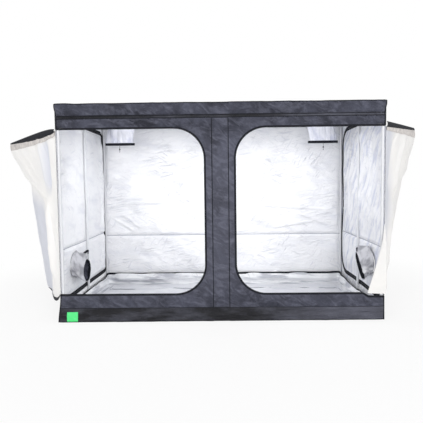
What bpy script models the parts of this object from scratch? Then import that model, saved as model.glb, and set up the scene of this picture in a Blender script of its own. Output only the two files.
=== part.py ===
"""Indoor grow tent: a sewn cover over a frame of push-fit poles, with two front doors, two side doors,
a floor tray, duct sleeves with drawcords, zip sliders and hanging bars.

Metres, +Z up. The front faces -Y, +X is to the right, and the origin is under the middle of the floor.
"""

import math

import bmesh
import bpy
from mathutils import Matrix, Vector

# Cover
WIDTH = 3.0
DEPTH = 1.5
HEIGHT = 2.0
CLOTH = 0.002
GAP = 0.0003

# Front panel
SILL_TOP = 0.25
HEADER_DEPTH = 0.22
MULLION_WIDTH = 0.284
OPENING_CORNER = 0.28
CORNER_STEPS = 6

# Front doors: swing is the angle from straight out sideways towards the back, by share of the door's height
DOOR_CLEARANCE = 0.008
DOOR_CLOTH = 0.0025
DOOR_COLUMNS = 13
DOOR_ROWS = 15
LEFT_SWING_SHARES = ((0.0, 62.0), (0.25, 59.7), (0.7, 56.0), (0.83, 51.0), (1.0, 44.5))
RIGHT_SWING_SHARES = ((0.0, 69.0), (0.27, 65.5), (0.6, 61.5), (0.82, 59.3), (1.0, 55.0))
LEFT_CORNER_RISE = -0.045
RIGHT_CORNER_RISE = 0.08
RISE_POWER = 4
MAIN_FOLD_DEPTH = 0.035
MAIN_FOLD_WIDTH = 0.07
MAIN_FOLD_FREE_SHARE = 0.72
MAIN_FOLD_HINGE_SHARE = 0.5
FLUTE_DEPTH = 0.014
FLUTE_COUNT = 2.0
FLUTE_LEAN_SHARE = 0.35

# Side doors
SIDE_DOOR_LOW = 0.18
SIDE_DOOR_TOP_STRIP = 0.10
SIDE_DOOR_FRONT_STRIP = 0.04
SIDE_DOOR_BACK_STRIP = 0.05
SIDE_DOOR_CORNER = 0.2
SIDE_DOOR_CLEARANCE = 0.002

# Frame
PIPE_RADIUS = 0.0125
PIPE_WALL = 0.0015
BLOCK = 0.032
BLOCK_BEVEL = 0.003
SPIGOT_LENGTH = 0.05
PIPE_SIDES = 24

# Clips that hold a pole's end to a rail
CLIP_WALL = 0.0022
CLIP_CLEARANCE = 0.0004
CLIP_WIDTH = 0.03
CLIP_WRAP_DEGREES = 25.0
CLIP_STEPS = 10

# Roof bars
HANGING_BAR_RADIUS = 0.010
HANGING_BAR_X = 0.65
CROSS_BEAM_X = 0.04

# Floor tray
TRAY_HEIGHT = 0.145
TRAY_CLEARANCE = 0.003

# Roof duct sleeves
ROOF_SLEEVE_RADIUS = 0.16
ROOF_SLEEVE_X = 1.12
ROOF_SLEEVE_Y = 0.24
ROOF_SLEEVE_DROP = 0.30
ROOF_SLEEVE_SIDES = 36
ROOF_PLEAT_COUNT = 12
ROOF_PLEAT_DEPTH = 0.006
SLEEVE_HEM = 0.025
SLEEVE_ROWS = 5

# Lower vent sleeves, in the side doors
VENT_RADIUS = 0.10
VENT_FROM_FRONT = 0.35
VENT_Z = 0.46
VENT_LENGTH = 0.11
VENT_COLLAR = 0.006
VENT_SHIFT_BACK = 0.09
VENT_SHIFT_DOWN = 0.06
VENT_SIDES = 24
VENT_CRUMPLE_COUNT = 6
VENT_CRUMPLE_DEPTH = 0.006

# Tie straps beside the vent sleeves
STRAP_WIDTH = 0.02
STRAP_RISE = 0.07
STRAP_SEAT = 0.016
STRAP_OUT = 0.112
STRAP_TOP = 0.585

# Drawcords and their locks
CORD_RADIUS = 0.0015
CORD_STEP = 0.006
LOCK_RADIUS = 0.007
LOCK_BORE = 0.0024
LOCK_HEIGHT = 0.018
ROOF_CORD_LENGTH = 0.075
ROOF_LOCK_DROP = 0.035
VENT_CORD_BACK = 0.05
VENT_LOCK_BELOW_STRAP = 0.010

# Zip sliders
SLIDER_BODY = 0.014
SLIDER_WIDTH = 0.010
SLIDER_NECK = 0.004
SLIDER_TAB = 0.026
SLIDER_THICKNESS = 0.004
SLIDER_FROM_EDGE = 0.012
SLIDER_PARK = 0.045
SIDE_SLIDER_PARK = 0.14

# Plain patch
PATCH_WIDTH = 0.098
PATCH_HEIGHT = 0.087
PATCH_THICKNESS = 0.001
PATCH_FROM_CORNER = 0.07
PATCH_FROM_FLOOR = 0.008

# Derived places
HALF_WIDTH = WIDTH / 2
HALF_DEPTH = DEPTH / 2
HALF_MULLION = MULLION_WIDTH / 2
HEADER_BOTTOM = HEIGHT - HEADER_DEPTH
FRAME_INSET = CLOTH + GAP + BLOCK / 2
POLE_X = HALF_WIDTH - FRAME_INSET
POLE_Y = HALF_DEPTH - FRAME_INSET
FLOOR_LINE = FRAME_INSET
ROOF_LINE = HEIGHT - FRAME_INSET
PIPE_START = BLOCK / 2 + GAP
SIDE_DOOR_HIGH = HEIGHT - SIDE_DOOR_TOP_STRIP
SIDE_DOOR_FRONT = -HALF_DEPTH + SIDE_DOOR_FRONT_STRIP
SIDE_DOOR_BACK = HALF_DEPTH - SIDE_DOOR_BACK_STRIP
VENT_Y = -HALF_DEPTH + VENT_FROM_FRONT
HINGE_X = HALF_WIDTH + DOOR_CLOTH / 2 + GAP
HINGE_Y = -HALF_DEPTH + CLOTH - DOOR_CLOTH / 2 - GAP
DOOR_WIDTH = HINGE_X - HALF_MULLION - DOOR_CLEARANCE
DOOR_LOW = SILL_TOP + DOOR_CLEARANCE
DOOR_HIGH = HEADER_BOTTOM - DOOR_CLEARANCE
DOOR_CORNER = OPENING_CORNER - DOOR_CLEARANCE

# Colours from the photograph, linear
BLACK_FABRIC = (0.055, 0.056, 0.070)
SILVER_FILM = (0.80, 0.82, 0.88)
CREAM_FILM = (0.86, 0.84, 0.80)
WHITE_PAINT = (0.85, 0.86, 0.88)
BLACK_PLASTIC = (0.012, 0.013, 0.017)
PLAIN_GREEN = (0.07, 0.75, 0.20)


# Scene handling
def clear_scene():
    for item in list(bpy.data.objects):
        bpy.data.objects.remove(item, do_unlink=True)


def new_collection(name):
    collection = bpy.data.collections.new(name)
    bpy.context.scene.collection.children.link(collection)
    return collection


def make_material(name, colour, roughness, metallic=0.0):
    material = bpy.data.materials.new(name)
    material.use_nodes = True
    shader = material.node_tree.nodes["Principled BSDF"]
    shader.inputs["Base Color"].default_value = (*colour, 1.0)
    shader.inputs["Roughness"].default_value = roughness
    shader.inputs["Metallic"].default_value = metallic
    return material


def black_fabric(name):
    return make_material(name, BLACK_FABRIC, 0.75)


def silver_film(name):
    return make_material(name, SILVER_FILM, 0.35)


def cream_film(name):
    return make_material(name, CREAM_FILM, 0.45)


def white_paint(name):
    return make_material(name, WHITE_PAINT, 0.30)


def black_plastic(name):
    return make_material(name, BLACK_PLASTIC, 0.45)


def green_patch(name):
    return make_material(name, PLAIN_GREEN, 0.60)


def add_part(name, mesh, finish):
    part = bpy.data.objects.new(name, mesh)
    mesh.materials.append(finish(name + "_material"))
    PARTS.objects.link(part)
    return part


def add_cutter(name, mesh):
    cutter = bpy.data.objects.new(name, mesh)
    cutter.hide_render = True
    cutter.display_type = "WIRE"
    CUTTERS.objects.link(cutter)
    return cutter


def add_pivot(name, location):
    pivot = bpy.data.objects.new(name, None)
    pivot.location = location
    PARTS.objects.link(pivot)
    return pivot


def hang_on(pivot, *pieces):
    bpy.context.view_layer.update()
    for piece in pieces:
        piece.parent = pivot
        piece.matrix_parent_inverse = pivot.matrix_world.inverted()


def mesh_of(name, shape):
    mesh = bpy.data.meshes.new(name)
    shape.to_mesh(mesh)
    shape.free()
    return mesh


def smooth_round(mesh):
    mesh.shade_smooth()
    mesh.set_sharp_from_angle(angle=math.radians(40))


# Directions that a shape's own Z axis can be turned to
def turned_to(axis):
    turns = {
        "x": Matrix.Rotation(math.radians(90), 4, "Y"),
        "y": Matrix.Rotation(math.radians(-90), 4, "X"),
        "z": Matrix.Identity(4),
    }
    return turns[axis]


# Shapes
def box_mesh(name, low, high):
    low = Vector(low)
    high = Vector(high)
    shape = bmesh.new()
    bmesh.ops.create_cube(shape, size=1.0)
    bmesh.ops.scale(shape, vec=high - low, verts=shape.verts)
    bmesh.ops.translate(shape, vec=(low + high) / 2, verts=shape.verts)
    return mesh_of(name, shape)


def box(name, low, high, finish):
    return add_part(name, box_mesh(name, low, high), finish)


def rod_mesh(name, radius, length, sides=PIPE_SIDES):
    shape = bmesh.new()
    bmesh.ops.create_cone(
        shape, cap_ends=True, segments=sides, radius1=radius, radius2=radius, depth=length
    )
    mesh = mesh_of(name, shape)
    smooth_round(mesh)
    return mesh


def tube(name, span, radius, wall, finish, axis, through):
    """A round tube from one place along an axis to another, turned from its wall's section."""
    start, end = span
    inner = radius - wall
    mesh = bpy.data.meshes.new(name)
    corners = [(radius, 0, end), (radius, 0, start), (inner, 0, start), (inner, 0, end)]
    mesh.from_pydata(corners, [(0, 1), (1, 2), (2, 3), (3, 0)], [])
    part = add_part(name, mesh, finish)
    part.matrix_world = Matrix.Translation(through) @ turned_to(axis)
    screw = part.modifiers.new("turn", "SCREW")
    screw.steps = PIPE_SIDES
    screw.render_steps = PIPE_SIDES
    screw.use_merge_vertices = True
    screw.merge_threshold = 0.00001
    screw.use_smooth_shade = True
    return part


def plate_mesh(name, outlines, thickness):
    """A flat plate in its own XY plane from closed outlines; an outline inside another is a hole."""
    curve = bpy.data.curves.new(name, "CURVE")
    curve.dimensions = "2D"
    curve.fill_mode = "BOTH"
    curve.extrude = thickness / 2
    for outline in outlines:
        spline = curve.splines.new("POLY")
        spline.points.add(len(outline) - 1)
        for point, (across, up) in zip(spline.points, outline):
            point.co = (across, up, 0, 1)
        spline.use_cyclic_u = True
    return solid_from_curve(name, curve)


def solid_from_curve(name, curve):
    """The curve's evaluated solid, with its loose caps welded on."""
    holder = bpy.data.objects.new(name, curve)
    CUTTERS.objects.link(holder)
    bpy.context.view_layer.update()
    evaluated = holder.evaluated_get(bpy.context.evaluated_depsgraph_get())
    mesh = bpy.data.meshes.new_from_object(evaluated)
    bpy.data.objects.remove(holder)
    shape = bmesh.new()
    shape.from_mesh(mesh)
    bmesh.ops.remove_doubles(shape, verts=shape.verts, dist=0.00001)
    bmesh.ops.recalc_face_normals(shape, faces=shape.faces)
    shape.to_mesh(mesh)
    shape.free()
    mesh.name = name
    mesh.materials.clear()
    return mesh


def facing_front(middle_y):
    """Carries a plate's own plane to X and Z, at a depth."""
    return Matrix.Translation((0, middle_y, 0)) @ Matrix.Rotation(math.radians(90), 4, "X")


def facing_side(middle_x):
    """Carries a plate's own plane to Y and Z, at a place across."""
    turn = Matrix(((0, 0, 1, 0), (1, 0, 0, 0), (0, 1, 0, 0), (0, 0, 0, 1)))
    return Matrix.Translation((middle_x, 0, 0)) @ turn


def plate(name, outlines, thickness, finish, place):
    part = add_part(name, plate_mesh(name, outlines, thickness), finish)
    part.matrix_world = place
    return part


def arc(across, up, radius, start, end, steps):
    angles = [math.radians(start + (end - start) * k / steps) for k in range(steps + 1)]
    return [(across + radius * math.cos(a), up + radius * math.sin(a)) for a in angles]


def rectangle(left, low, right, high):
    return [(left, low), (right, low), (right, high), (left, high)]


def circle(across, up, radius, sides):
    return arc(across, up, radius, 0, 360, sides)[:-1]


def ease(share):
    share = min(max(share, 0.0), 1.0)
    return share * share * (3 - 2 * share)


def read_shares(shares, share):
    """A value between the two neighbours in a table of (share, value)."""
    for (low, first), (high, second) in zip(shares, shares[1:]):
        if share <= high:
            return first + (second - first) * (share - low) / (high - low)
    return shares[-1][1]


def cloth(name, columns, rows, place, thickness, finish, closed=False):
    """A sheet of cloth: a grid whose shares across and up are carried to space by a function."""
    shape = bmesh.new()
    bmesh.ops.create_grid(shape, x_segments=columns, y_segments=rows, size=0.5)
    for vertex in shape.verts:
        vertex.co = place(vertex.co.x + 0.5, vertex.co.y + 0.5)
    if closed:
        bmesh.ops.remove_doubles(shape, verts=shape.verts, dist=0.00001)
    mesh = mesh_of(name, shape)
    smooth_round(mesh)
    part = add_part(name, mesh, finish)
    solid = part.modifiers.new("cloth", "SOLIDIFY")
    solid.thickness = thickness
    solid.offset = 0
    return part


def join(part, cutter, operation="UNION"):
    boolean = part.modifiers.new(cutter.name, "BOOLEAN")
    boolean.operation = operation
    boolean.object = cutter
    boolean.solver = "EXACT"


# Cover
def make_floor_panel():
    low = (-HALF_WIDTH, -HALF_DEPTH, 0)
    return box("floor_panel", low, (HALF_WIDTH, HALF_DEPTH, CLOTH), black_fabric)


def make_roof_panel():
    outlines = [rectangle(-HALF_WIDTH, -HALF_DEPTH, HALF_WIDTH, HALF_DEPTH)]
    port = ROOF_SLEEVE_RADIUS + CLOTH / 2 + GAP
    for side in (-1, 1):
        outlines.append(circle(side * ROOF_SLEEVE_X, ROOF_SLEEVE_Y, port, ROOF_SLEEVE_SIDES))
    place = Matrix.Translation((0, 0, HEIGHT - CLOTH / 2))
    return plate("roof_panel", outlines, CLOTH, black_fabric, place)


def make_back_wall():
    low = (-HALF_WIDTH, HALF_DEPTH - CLOTH, CLOTH + GAP)
    high = (HALF_WIDTH, HALF_DEPTH, HEIGHT - CLOTH - GAP)
    return box("back_wall", low, high, silver_film)


def make_front_panel():
    low = CLOTH + GAP
    high = HEIGHT - CLOTH - GAP
    centre = HALF_MULLION + OPENING_CORNER
    lower = SILL_TOP + OPENING_CORNER
    upper = HEADER_BOTTOM - OPENING_CORNER
    outline = [(-HALF_WIDTH, low), (HALF_WIDTH, low), (HALF_WIDTH, SILL_TOP)]
    outline += arc(centre, lower, OPENING_CORNER, 270, 180, CORNER_STEPS)
    outline += arc(centre, upper, OPENING_CORNER, 180, 90, CORNER_STEPS)
    outline += [(HALF_WIDTH, HEADER_BOTTOM), (HALF_WIDTH, high)]
    outline += [(-HALF_WIDTH, high), (-HALF_WIDTH, HEADER_BOTTOM)]
    outline += arc(-centre, upper, OPENING_CORNER, 90, 0, CORNER_STEPS)
    outline += arc(-centre, lower, OPENING_CORNER, 0, -90, CORNER_STEPS)
    outline += [(-HALF_WIDTH, SILL_TOP)]
    place = facing_front(-HALF_DEPTH + CLOTH / 2)
    return plate("front_panel", [outline], CLOTH, black_fabric, place)


def side_door_outline(grown):
    """The side door's outline in Y and Z, grown by a clearance on its three zipped edges."""
    front = SIDE_DOOR_FRONT - min(grown, GAP)
    back = SIDE_DOOR_BACK + grown
    low = SIDE_DOOR_LOW - grown
    high = SIDE_DOOR_HIGH + grown
    radius = SIDE_DOOR_CORNER + grown
    outline = [(front, low)]
    outline += arc(back - radius, low + radius, radius, 270, 360, CORNER_STEPS)
    outline += arc(back - radius, high - radius, radius, 0, 90, CORNER_STEPS)
    outline += [(front, high)]
    return outline


def make_side_wall(name, side):
    edge = CLOTH + GAP
    outlines = [
        rectangle(-HALF_DEPTH + edge, edge, HALF_DEPTH - edge, HEIGHT - edge),
        side_door_outline(SIDE_DOOR_CLEARANCE),
    ]
    return plate(name, outlines, CLOTH, silver_film, facing_side(side * (HALF_WIDTH - CLOTH / 2)))


def make_side_door(name, side):
    port = VENT_RADIUS + CLOTH / 2 + GAP
    outlines = [side_door_outline(0), circle(VENT_Y, VENT_Z, port, VENT_SIDES)]
    return plate(name, outlines, CLOTH, silver_film, facing_side(side * (HALF_WIDTH - CLOTH / 2)))


# Front doors, hanging open
def door_width_at(height):
    """The flap's width at a height: it narrows round its two free corners."""
    below = DOOR_LOW + DOOR_CORNER - height
    above = height - (DOOR_HIGH - DOOR_CORNER)
    beyond = min(max(below, above, 0.0), DOOR_CORNER)
    return DOOR_WIDTH - DOOR_CORNER + math.sqrt(DOOR_CORNER ** 2 - beyond ** 2)


def door_fold(out_share, up_share):
    """How far the cloth stands towards the side wall: one slanting main fold, and flutes."""
    line_share = MAIN_FOLD_HINGE_SHARE + (MAIN_FOLD_FREE_SHARE - MAIN_FOLD_HINGE_SHARE) * out_share
    below_line = (line_share - up_share) * (DOOR_HIGH - DOOR_LOW)
    step = MAIN_FOLD_DEPTH * ease(below_line / MAIN_FOLD_WIDTH + 0.5)
    wave = math.sin(2 * math.pi * (FLUTE_COUNT * out_share + FLUTE_LEAN_SHARE * up_share))
    return (step + FLUTE_DEPTH * wave * (1 - up_share)) * ease(out_share)


def make_front_door(name, side, swing_shares, corner_rise):
    def place(out_share, up_grid):
        up_share = (1 - math.cos(math.pi * up_grid)) / 2
        height = DOOR_LOW + (DOOR_HIGH - DOOR_LOW) * up_share
        out = door_width_at(height) * out_share
        swing = math.radians(read_shares(swing_shares, up_share))
        fold = door_fold(out / DOOR_WIDTH, up_share)
        x = HINGE_X + out * math.cos(swing) - fold * math.sin(swing)
        y = HINGE_Y + out * math.sin(swing) + fold * math.cos(swing)
        height += corner_rise * out / DOOR_WIDTH * up_share ** RISE_POWER
        return (side * x, y, height)

    door = cloth(name, DOOR_COLUMNS, DOOR_ROWS, place, DOOR_CLOTH, cream_film)
    pivot = add_pivot(name + "_hinge", (side * HINGE_X, HINGE_Y, SILL_TOP))
    hang_on(pivot, door)
    return door


# Tray
def make_floor_tray():
    inset = FRAME_INSET + BLOCK / 2 + TRAY_CLEARANCE
    low = Vector((inset - HALF_WIDTH, inset - HALF_DEPTH, CLOTH + GAP))
    high = Vector((HALF_WIDTH - inset, HALF_DEPTH - inset, TRAY_HEIGHT))
    shape = bmesh.new()
    bmesh.ops.create_cube(shape, size=1.0)
    bmesh.ops.scale(shape, vec=high - low, verts=shape.verts)
    bmesh.ops.translate(shape, vec=(low + high) / 2, verts=shape.verts)
    lid = max(shape.faces, key=lambda face: face.calc_center_median().z)
    bmesh.ops.delete(shape, geom=[lid], context="FACES")
    tray = add_part("floor_tray", mesh_of("floor_tray", shape), silver_film)
    solid = tray.modifiers.new("sheet", "SOLIDIFY")
    solid.thickness = CLOTH
    solid.offset = -1
    solid.use_even_offset = True
    return tray


# Sleeves
def make_roof_sleeve(name, side):
    def place(round_share, up_share):
        angle = 2 * math.pi * round_share
        drop = ROOF_SLEEVE_DROP * (1 - up_share)
        inner = min(drop, ROOF_SLEEVE_DROP - drop) - SLEEVE_HEM
        pleat = ROOF_PLEAT_DEPTH * (1 - math.cos(ROOF_PLEAT_COUNT * angle)) / 2 if inner > 0 else 0
        radius = ROOF_SLEEVE_RADIUS - pleat
        x = side * ROOF_SLEEVE_X + radius * math.cos(angle)
        y = ROOF_SLEEVE_Y + radius * math.sin(angle)
        return (x, y, HEIGHT - drop)

    return cloth(name, ROOF_SLEEVE_SIDES, SLEEVE_ROWS, place, CLOTH, silver_film, closed=True)


def make_vent_sleeve(name, side):
    def place(round_share, in_share):
        angle = side * 2 * math.pi * round_share
        past_collar = (in_share * SLEEVE_ROWS - 1) / (SLEEVE_ROWS - 1)
        if past_collar < 0:
            reach = VENT_COLLAR * in_share * SLEEVE_ROWS
        else:
            reach = VENT_COLLAR + (VENT_LENGTH - VENT_COLLAR) * past_collar
        inner = min(reach - VENT_COLLAR, VENT_LENGTH - reach)
        crumple = VENT_CRUMPLE_DEPTH * (1 - math.cos(VENT_CRUMPLE_COUNT * angle)) / 2 if inner > CLOTH else 0
        radius = VENT_RADIUS - crumple
        y = VENT_Y + radius * math.cos(angle) + VENT_SHIFT_BACK * ease(past_collar)
        z = VENT_Z + radius * math.sin(angle) - VENT_SHIFT_DOWN * ease(past_collar)
        return (side * (HALF_WIDTH - reach), y, z)

    return cloth(name, VENT_SIDES, SLEEVE_ROWS, place, CLOTH, silver_film, closed=True)


def make_tie_strap(name, side):
    wall = HALF_WIDTH - CLOTH - GAP
    end = wall - STRAP_OUT
    seat = end + STRAP_SEAT
    upper = [(wall, STRAP_TOP - STRAP_RISE), (seat, STRAP_TOP), (end, STRAP_TOP)]
    lower = [(x, z - CLOTH) for x, z in reversed(upper)]
    outline = [(side * x, z) for x, z in upper + lower]
    place = facing_front(VENT_Y + VENT_SHIFT_BACK + VENT_CORD_BACK)
    return plate(name, [outline], STRAP_WIDTH, black_fabric, place)


# Drawcords
def smooth_route(points, step):
    """Points a step apart on a smooth curve through the route's own points."""
    route = [Vector(point) for point in points]
    ends = [2 * route[0] - route[1]] + route + [2 * route[-1] - route[-2]]
    places = []
    for before, start, end, after in zip(ends, ends[1:], ends[2:], ends[3:]):
        count = max(1, round((end - start).length / step))
        for k in range(count):
            t = k / count
            bend = 2 * before - 5 * start + 4 * end - after
            turn = 3 * start - before - 3 * end + after
            places.append(start + 0.5 * t * (end - before + t * (bend + t * turn)))
    return places + [route[-1]]


def make_cord(name, points):
    curve = bpy.data.curves.new(name, "CURVE")
    curve.dimensions = "3D"
    curve.bevel_depth = CORD_RADIUS
    curve.bevel_resolution = 2
    curve.use_fill_caps = True
    places = smooth_route(points, CORD_STEP)
    spline = curve.splines.new("POLY")
    spline.points.add(len(places) - 1)
    for point, place in zip(spline.points, places):
        point.co = (*place, 1)
    mesh = solid_from_curve(name, curve)
    smooth_round(mesh)
    return add_part(name, mesh, black_fabric)


def make_lock(name, x, y, top):
    """A round cord lock, threaded on its upright cord."""
    span = (-LOCK_HEIGHT / 2, LOCK_HEIGHT / 2)
    middle = (x, y, top - LOCK_HEIGHT / 2)
    return tube(name, span, LOCK_RADIUS, LOCK_RADIUS - LOCK_BORE, black_plastic, "z", middle)


def make_roof_drawcord(hand, side):
    x = side * ROOF_SLEEVE_X
    y = ROOF_SLEEVE_Y - ROOF_SLEEVE_RADIUS
    top = HEIGHT - ROOF_SLEEVE_DROP - GAP
    middle = top - ROOF_CORD_LENGTH / 2
    bottom = top - ROOF_CORD_LENGTH
    make_cord("roof_drawcord_" + hand, [(x, y, top), (x, y, middle), (x, y, bottom)])
    make_lock("roof_cord_lock_" + hand, x, y, top - ROOF_LOCK_DROP)


def make_vent_drawcord(hand, side):
    x = side * (HALF_WIDTH - CLOTH - GAP - STRAP_OUT + STRAP_SEAT / 2)
    y = VENT_Y + VENT_SHIFT_BACK + VENT_CORD_BACK
    outside = VENT_RADIUS + CLOTH / 2
    nearest = VENT_CORD_BACK - CORD_RADIUS
    bottom = VENT_Z - VENT_SHIFT_DOWN + math.sqrt(outside ** 2 - nearest ** 2) + GAP
    top = STRAP_TOP - CLOTH - GAP
    middle = (top + bottom) / 2
    cord = make_cord("vent_drawcord_" + hand, [(x, y, top), (x, y, middle), (x, y, bottom)])
    make_lock("vent_cord_lock_" + hand, x, y, top - VENT_LOCK_BELOW_STRAP)
    return cord


# Frame
def make_corner_post(name, x, y):
    span = (FLOOR_LINE + PIPE_START, ROOF_LINE - PIPE_START)
    return tube(name, span, PIPE_RADIUS, PIPE_WALL, white_paint, "z", (x, y, 0))


def make_rail(name, axis, reach, through):
    span = (PIPE_START - reach, reach - PIPE_START)
    return tube(name, span, PIPE_RADIUS, PIPE_WALL, white_paint, axis, through)


def clip_band(open_towards):
    """The section of a clip that wraps a rail and is open towards an angle in degrees."""
    inner = PIPE_RADIUS + CLIP_CLEARANCE
    outer = inner + CLIP_WALL
    start = open_towards + 90 - CLIP_WRAP_DEGREES
    end = open_towards + 270 + CLIP_WRAP_DEGREES
    return arc(0, 0, outer, start, end, CLIP_STEPS) + arc(0, 0, inner, end, start, CLIP_STEPS)


def make_clipped_post(name, x, y, facing):
    """A post between the corners, with a clip that sits over each rail."""
    reach = PIPE_RADIUS + CLIP_CLEARANCE + CLIP_WALL / 2
    span = (FLOOR_LINE + reach, ROOF_LINE - reach)
    post = tube(name, span, PIPE_RADIUS, PIPE_WALL, white_paint, "z", (x, y, 0))
    for level, height, open_towards in (("floor", FLOOR_LINE, -90), ("roof", ROOF_LINE, 90)):
        mesh = plate_mesh("clip", [clip_band(open_towards)], CLIP_WIDTH)
        clip = add_cutter(f"{name}_{level}_clip", mesh)
        clip.matrix_world = Matrix.Translation((x, y, height)) @ facing(0)
        join(post, clip)
    return post


def make_roof_bar(name, x, radius):
    """A bar from front to back, with a clip that hangs over each roof rail."""
    reach = POLE_Y - PIPE_RADIUS - CLIP_CLEARANCE - CLIP_WALL / 2
    bar = add_part(name, rod_mesh(name, radius, 2 * reach), white_paint)
    bar.matrix_world = Matrix.Translation((x, 0, ROOF_LINE)) @ turned_to("y")
    for end, y in (("front", -POLE_Y), ("back", POLE_Y)):
        clip = add_cutter(f"{name}_{end}_clip", plate_mesh("clip", [clip_band(-90)], CLIP_WIDTH))
        clip.matrix_world = Matrix.Translation((x, y, ROOF_LINE)) @ facing_side(0)
        join(bar, clip)
    return bar


def make_hanging_bar(name, side):
    bar = make_roof_bar(name, side * HANGING_BAR_X, HANGING_BAR_RADIUS)
    pivot = add_pivot(name + "_slide", (side * HANGING_BAR_X, 0, ROOF_LINE))
    hang_on(pivot, bar)
    return bar


def make_corner_connector(name, across, along, up):
    """A bevelled block in one corner, with a spigot into each of the three poles that meet there."""
    half = BLOCK / 2
    centre = Vector((across * POLE_X, along * POLE_Y, ROOF_LINE if up > 0 else FLOOR_LINE))
    part = box(name, (-half, -half, -half), (half, half, half), white_paint)
    part.location = centre
    bevel = part.modifiers.new("edges", "BEVEL")
    bevel.width = BLOCK_BEVEL
    bevel.segments = 1
    radius = PIPE_RADIUS - PIPE_WALL - GAP
    length = SPIGOT_LENGTH + half
    inwards = {"x": (-across, 0, 0), "y": (0, -along, 0), "z": (0, 0, -up)}
    for axis, direction in inwards.items():
        spigot = add_cutter(f"{name}_spigot_{axis}", rod_mesh("spigot", radius, length))
        spigot.matrix_world = Matrix.Translation(centre + Vector(direction) * length / 2) @ turned_to(axis)
        join(part, spigot)
    return part


def make_frame():
    for end, along in (("front", -1), ("back", 1)):
        make_clipped_post("centre_post_" + end, 0, along * POLE_Y, facing_side)
        for hand, across in (("left", -1), ("right", 1)):
            make_corner_post(f"corner_post_{end}_{hand}", across * POLE_X, along * POLE_Y)
            make_corner_connector(f"floor_corner_{end}_{hand}", across, along, -1)
            make_corner_connector(f"roof_corner_{end}_{hand}", across, along, 1)
    for hand, across in (("left", -1), ("right", 1)):
        make_clipped_post("side_post_" + hand, across * POLE_X, 0, facing_front)
    for level, height in (("floor", FLOOR_LINE), ("roof", ROOF_LINE)):
        for end, along in (("front", -1), ("back", 1)):
            make_rail(f"{level}_rail_{end}", "x", POLE_X, (0, along * POLE_Y, height))
        for hand, across in (("left", -1), ("right", 1)):
            make_rail(f"{level}_rail_{hand}", "y", POLE_Y, (across * POLE_X, 0, height))
    make_roof_bar("roof_cross_beam", CROSS_BEAM_X, PIPE_RADIUS)


# Zip sliders
def slider_outline(across, up, towards):
    """A slider's body with its pull tab, which lies along the zip."""
    half = SLIDER_WIDTH / 2
    neck = SLIDER_NECK / 2
    end = SLIDER_BODY / 2
    tip = end + SLIDER_TAB
    shape = [(-end, -neck), (0, -half), (end, -half), (end, -neck), (tip, -neck)]
    shape += [(x, -y) for x, y in reversed(shape)]
    return [(across + towards * x, up + y) for x, y in shape]


def make_front_slider(name, side, up):
    x = side * (HALF_WIDTH - SLIDER_PARK)
    outline = slider_outline(x, up, -side)
    place = facing_front(-HALF_DEPTH - GAP - SLIDER_THICKNESS / 2)
    return plate(name, [outline], SLIDER_THICKNESS, black_plastic, place)


def make_side_slider(name, side):
    y = SIDE_DOOR_FRONT + SIDE_SLIDER_PARK
    outline = slider_outline(y, SIDE_DOOR_LOW - SLIDER_FROM_EDGE, 1)
    place = facing_side(side * (HALF_WIDTH + GAP + SLIDER_THICKNESS / 2))
    return plate(name, [outline], SLIDER_THICKNESS, black_plastic, place)


def make_patch():
    low = (-HALF_WIDTH + PATCH_FROM_CORNER, -HALF_DEPTH - GAP - PATCH_THICKNESS, PATCH_FROM_FLOOR)
    high = (low[0] + PATCH_WIDTH, -HALF_DEPTH - GAP, PATCH_FROM_FLOOR + PATCH_HEIGHT)
    return box("plain_patch", low, high, green_patch)


def make_side(hand, side):
    """Everything that hangs on or beside one side wall."""
    make_side_wall("side_wall_" + hand, side)
    door = make_side_door("side_door_" + hand, side)
    sleeve = make_vent_sleeve("vent_sleeve_" + hand, side)
    strap = make_tie_strap("vent_tie_strap_" + hand, side)
    cord = make_vent_drawcord(hand, side)
    pivot = add_pivot(f"side_door_{hand}_hinge", (side * HALF_WIDTH, SIDE_DOOR_FRONT, SIDE_DOOR_LOW))
    hang_on(pivot, door, sleeve, strap, cord)
    make_roof_sleeve("roof_sleeve_" + hand, side)
    make_roof_drawcord(hand, side)
    make_hanging_bar("hanging_bar_" + hand, side)
    make_front_slider("upper_zip_slider_" + hand, side, HEADER_BOTTOM + SLIDER_FROM_EDGE)
    make_front_slider("lower_zip_slider_" + hand, side, SILL_TOP - SLIDER_FROM_EDGE)
    make_side_slider("side_zip_slider_" + hand, side)


def make_tent():
    make_floor_panel()
    make_roof_panel()
    make_back_wall()
    make_front_panel()
    make_floor_tray()
    make_frame()
    make_front_door("front_door_left", -1, LEFT_SWING_SHARES, LEFT_CORNER_RISE)
    make_front_door("front_door_right", 1, RIGHT_SWING_SHARES, RIGHT_CORNER_RISE)
    for hand, side in (("left", -1), ("right", 1)):
        make_side(hand, side)
    make_patch()


clear_scene()
PARTS = new_collection("grow_tent")
CUTTERS = new_collection("cutters")
make_tent()
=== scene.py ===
import math

import bpy
import numpy as np
from mathutils import Matrix, Vector


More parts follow.
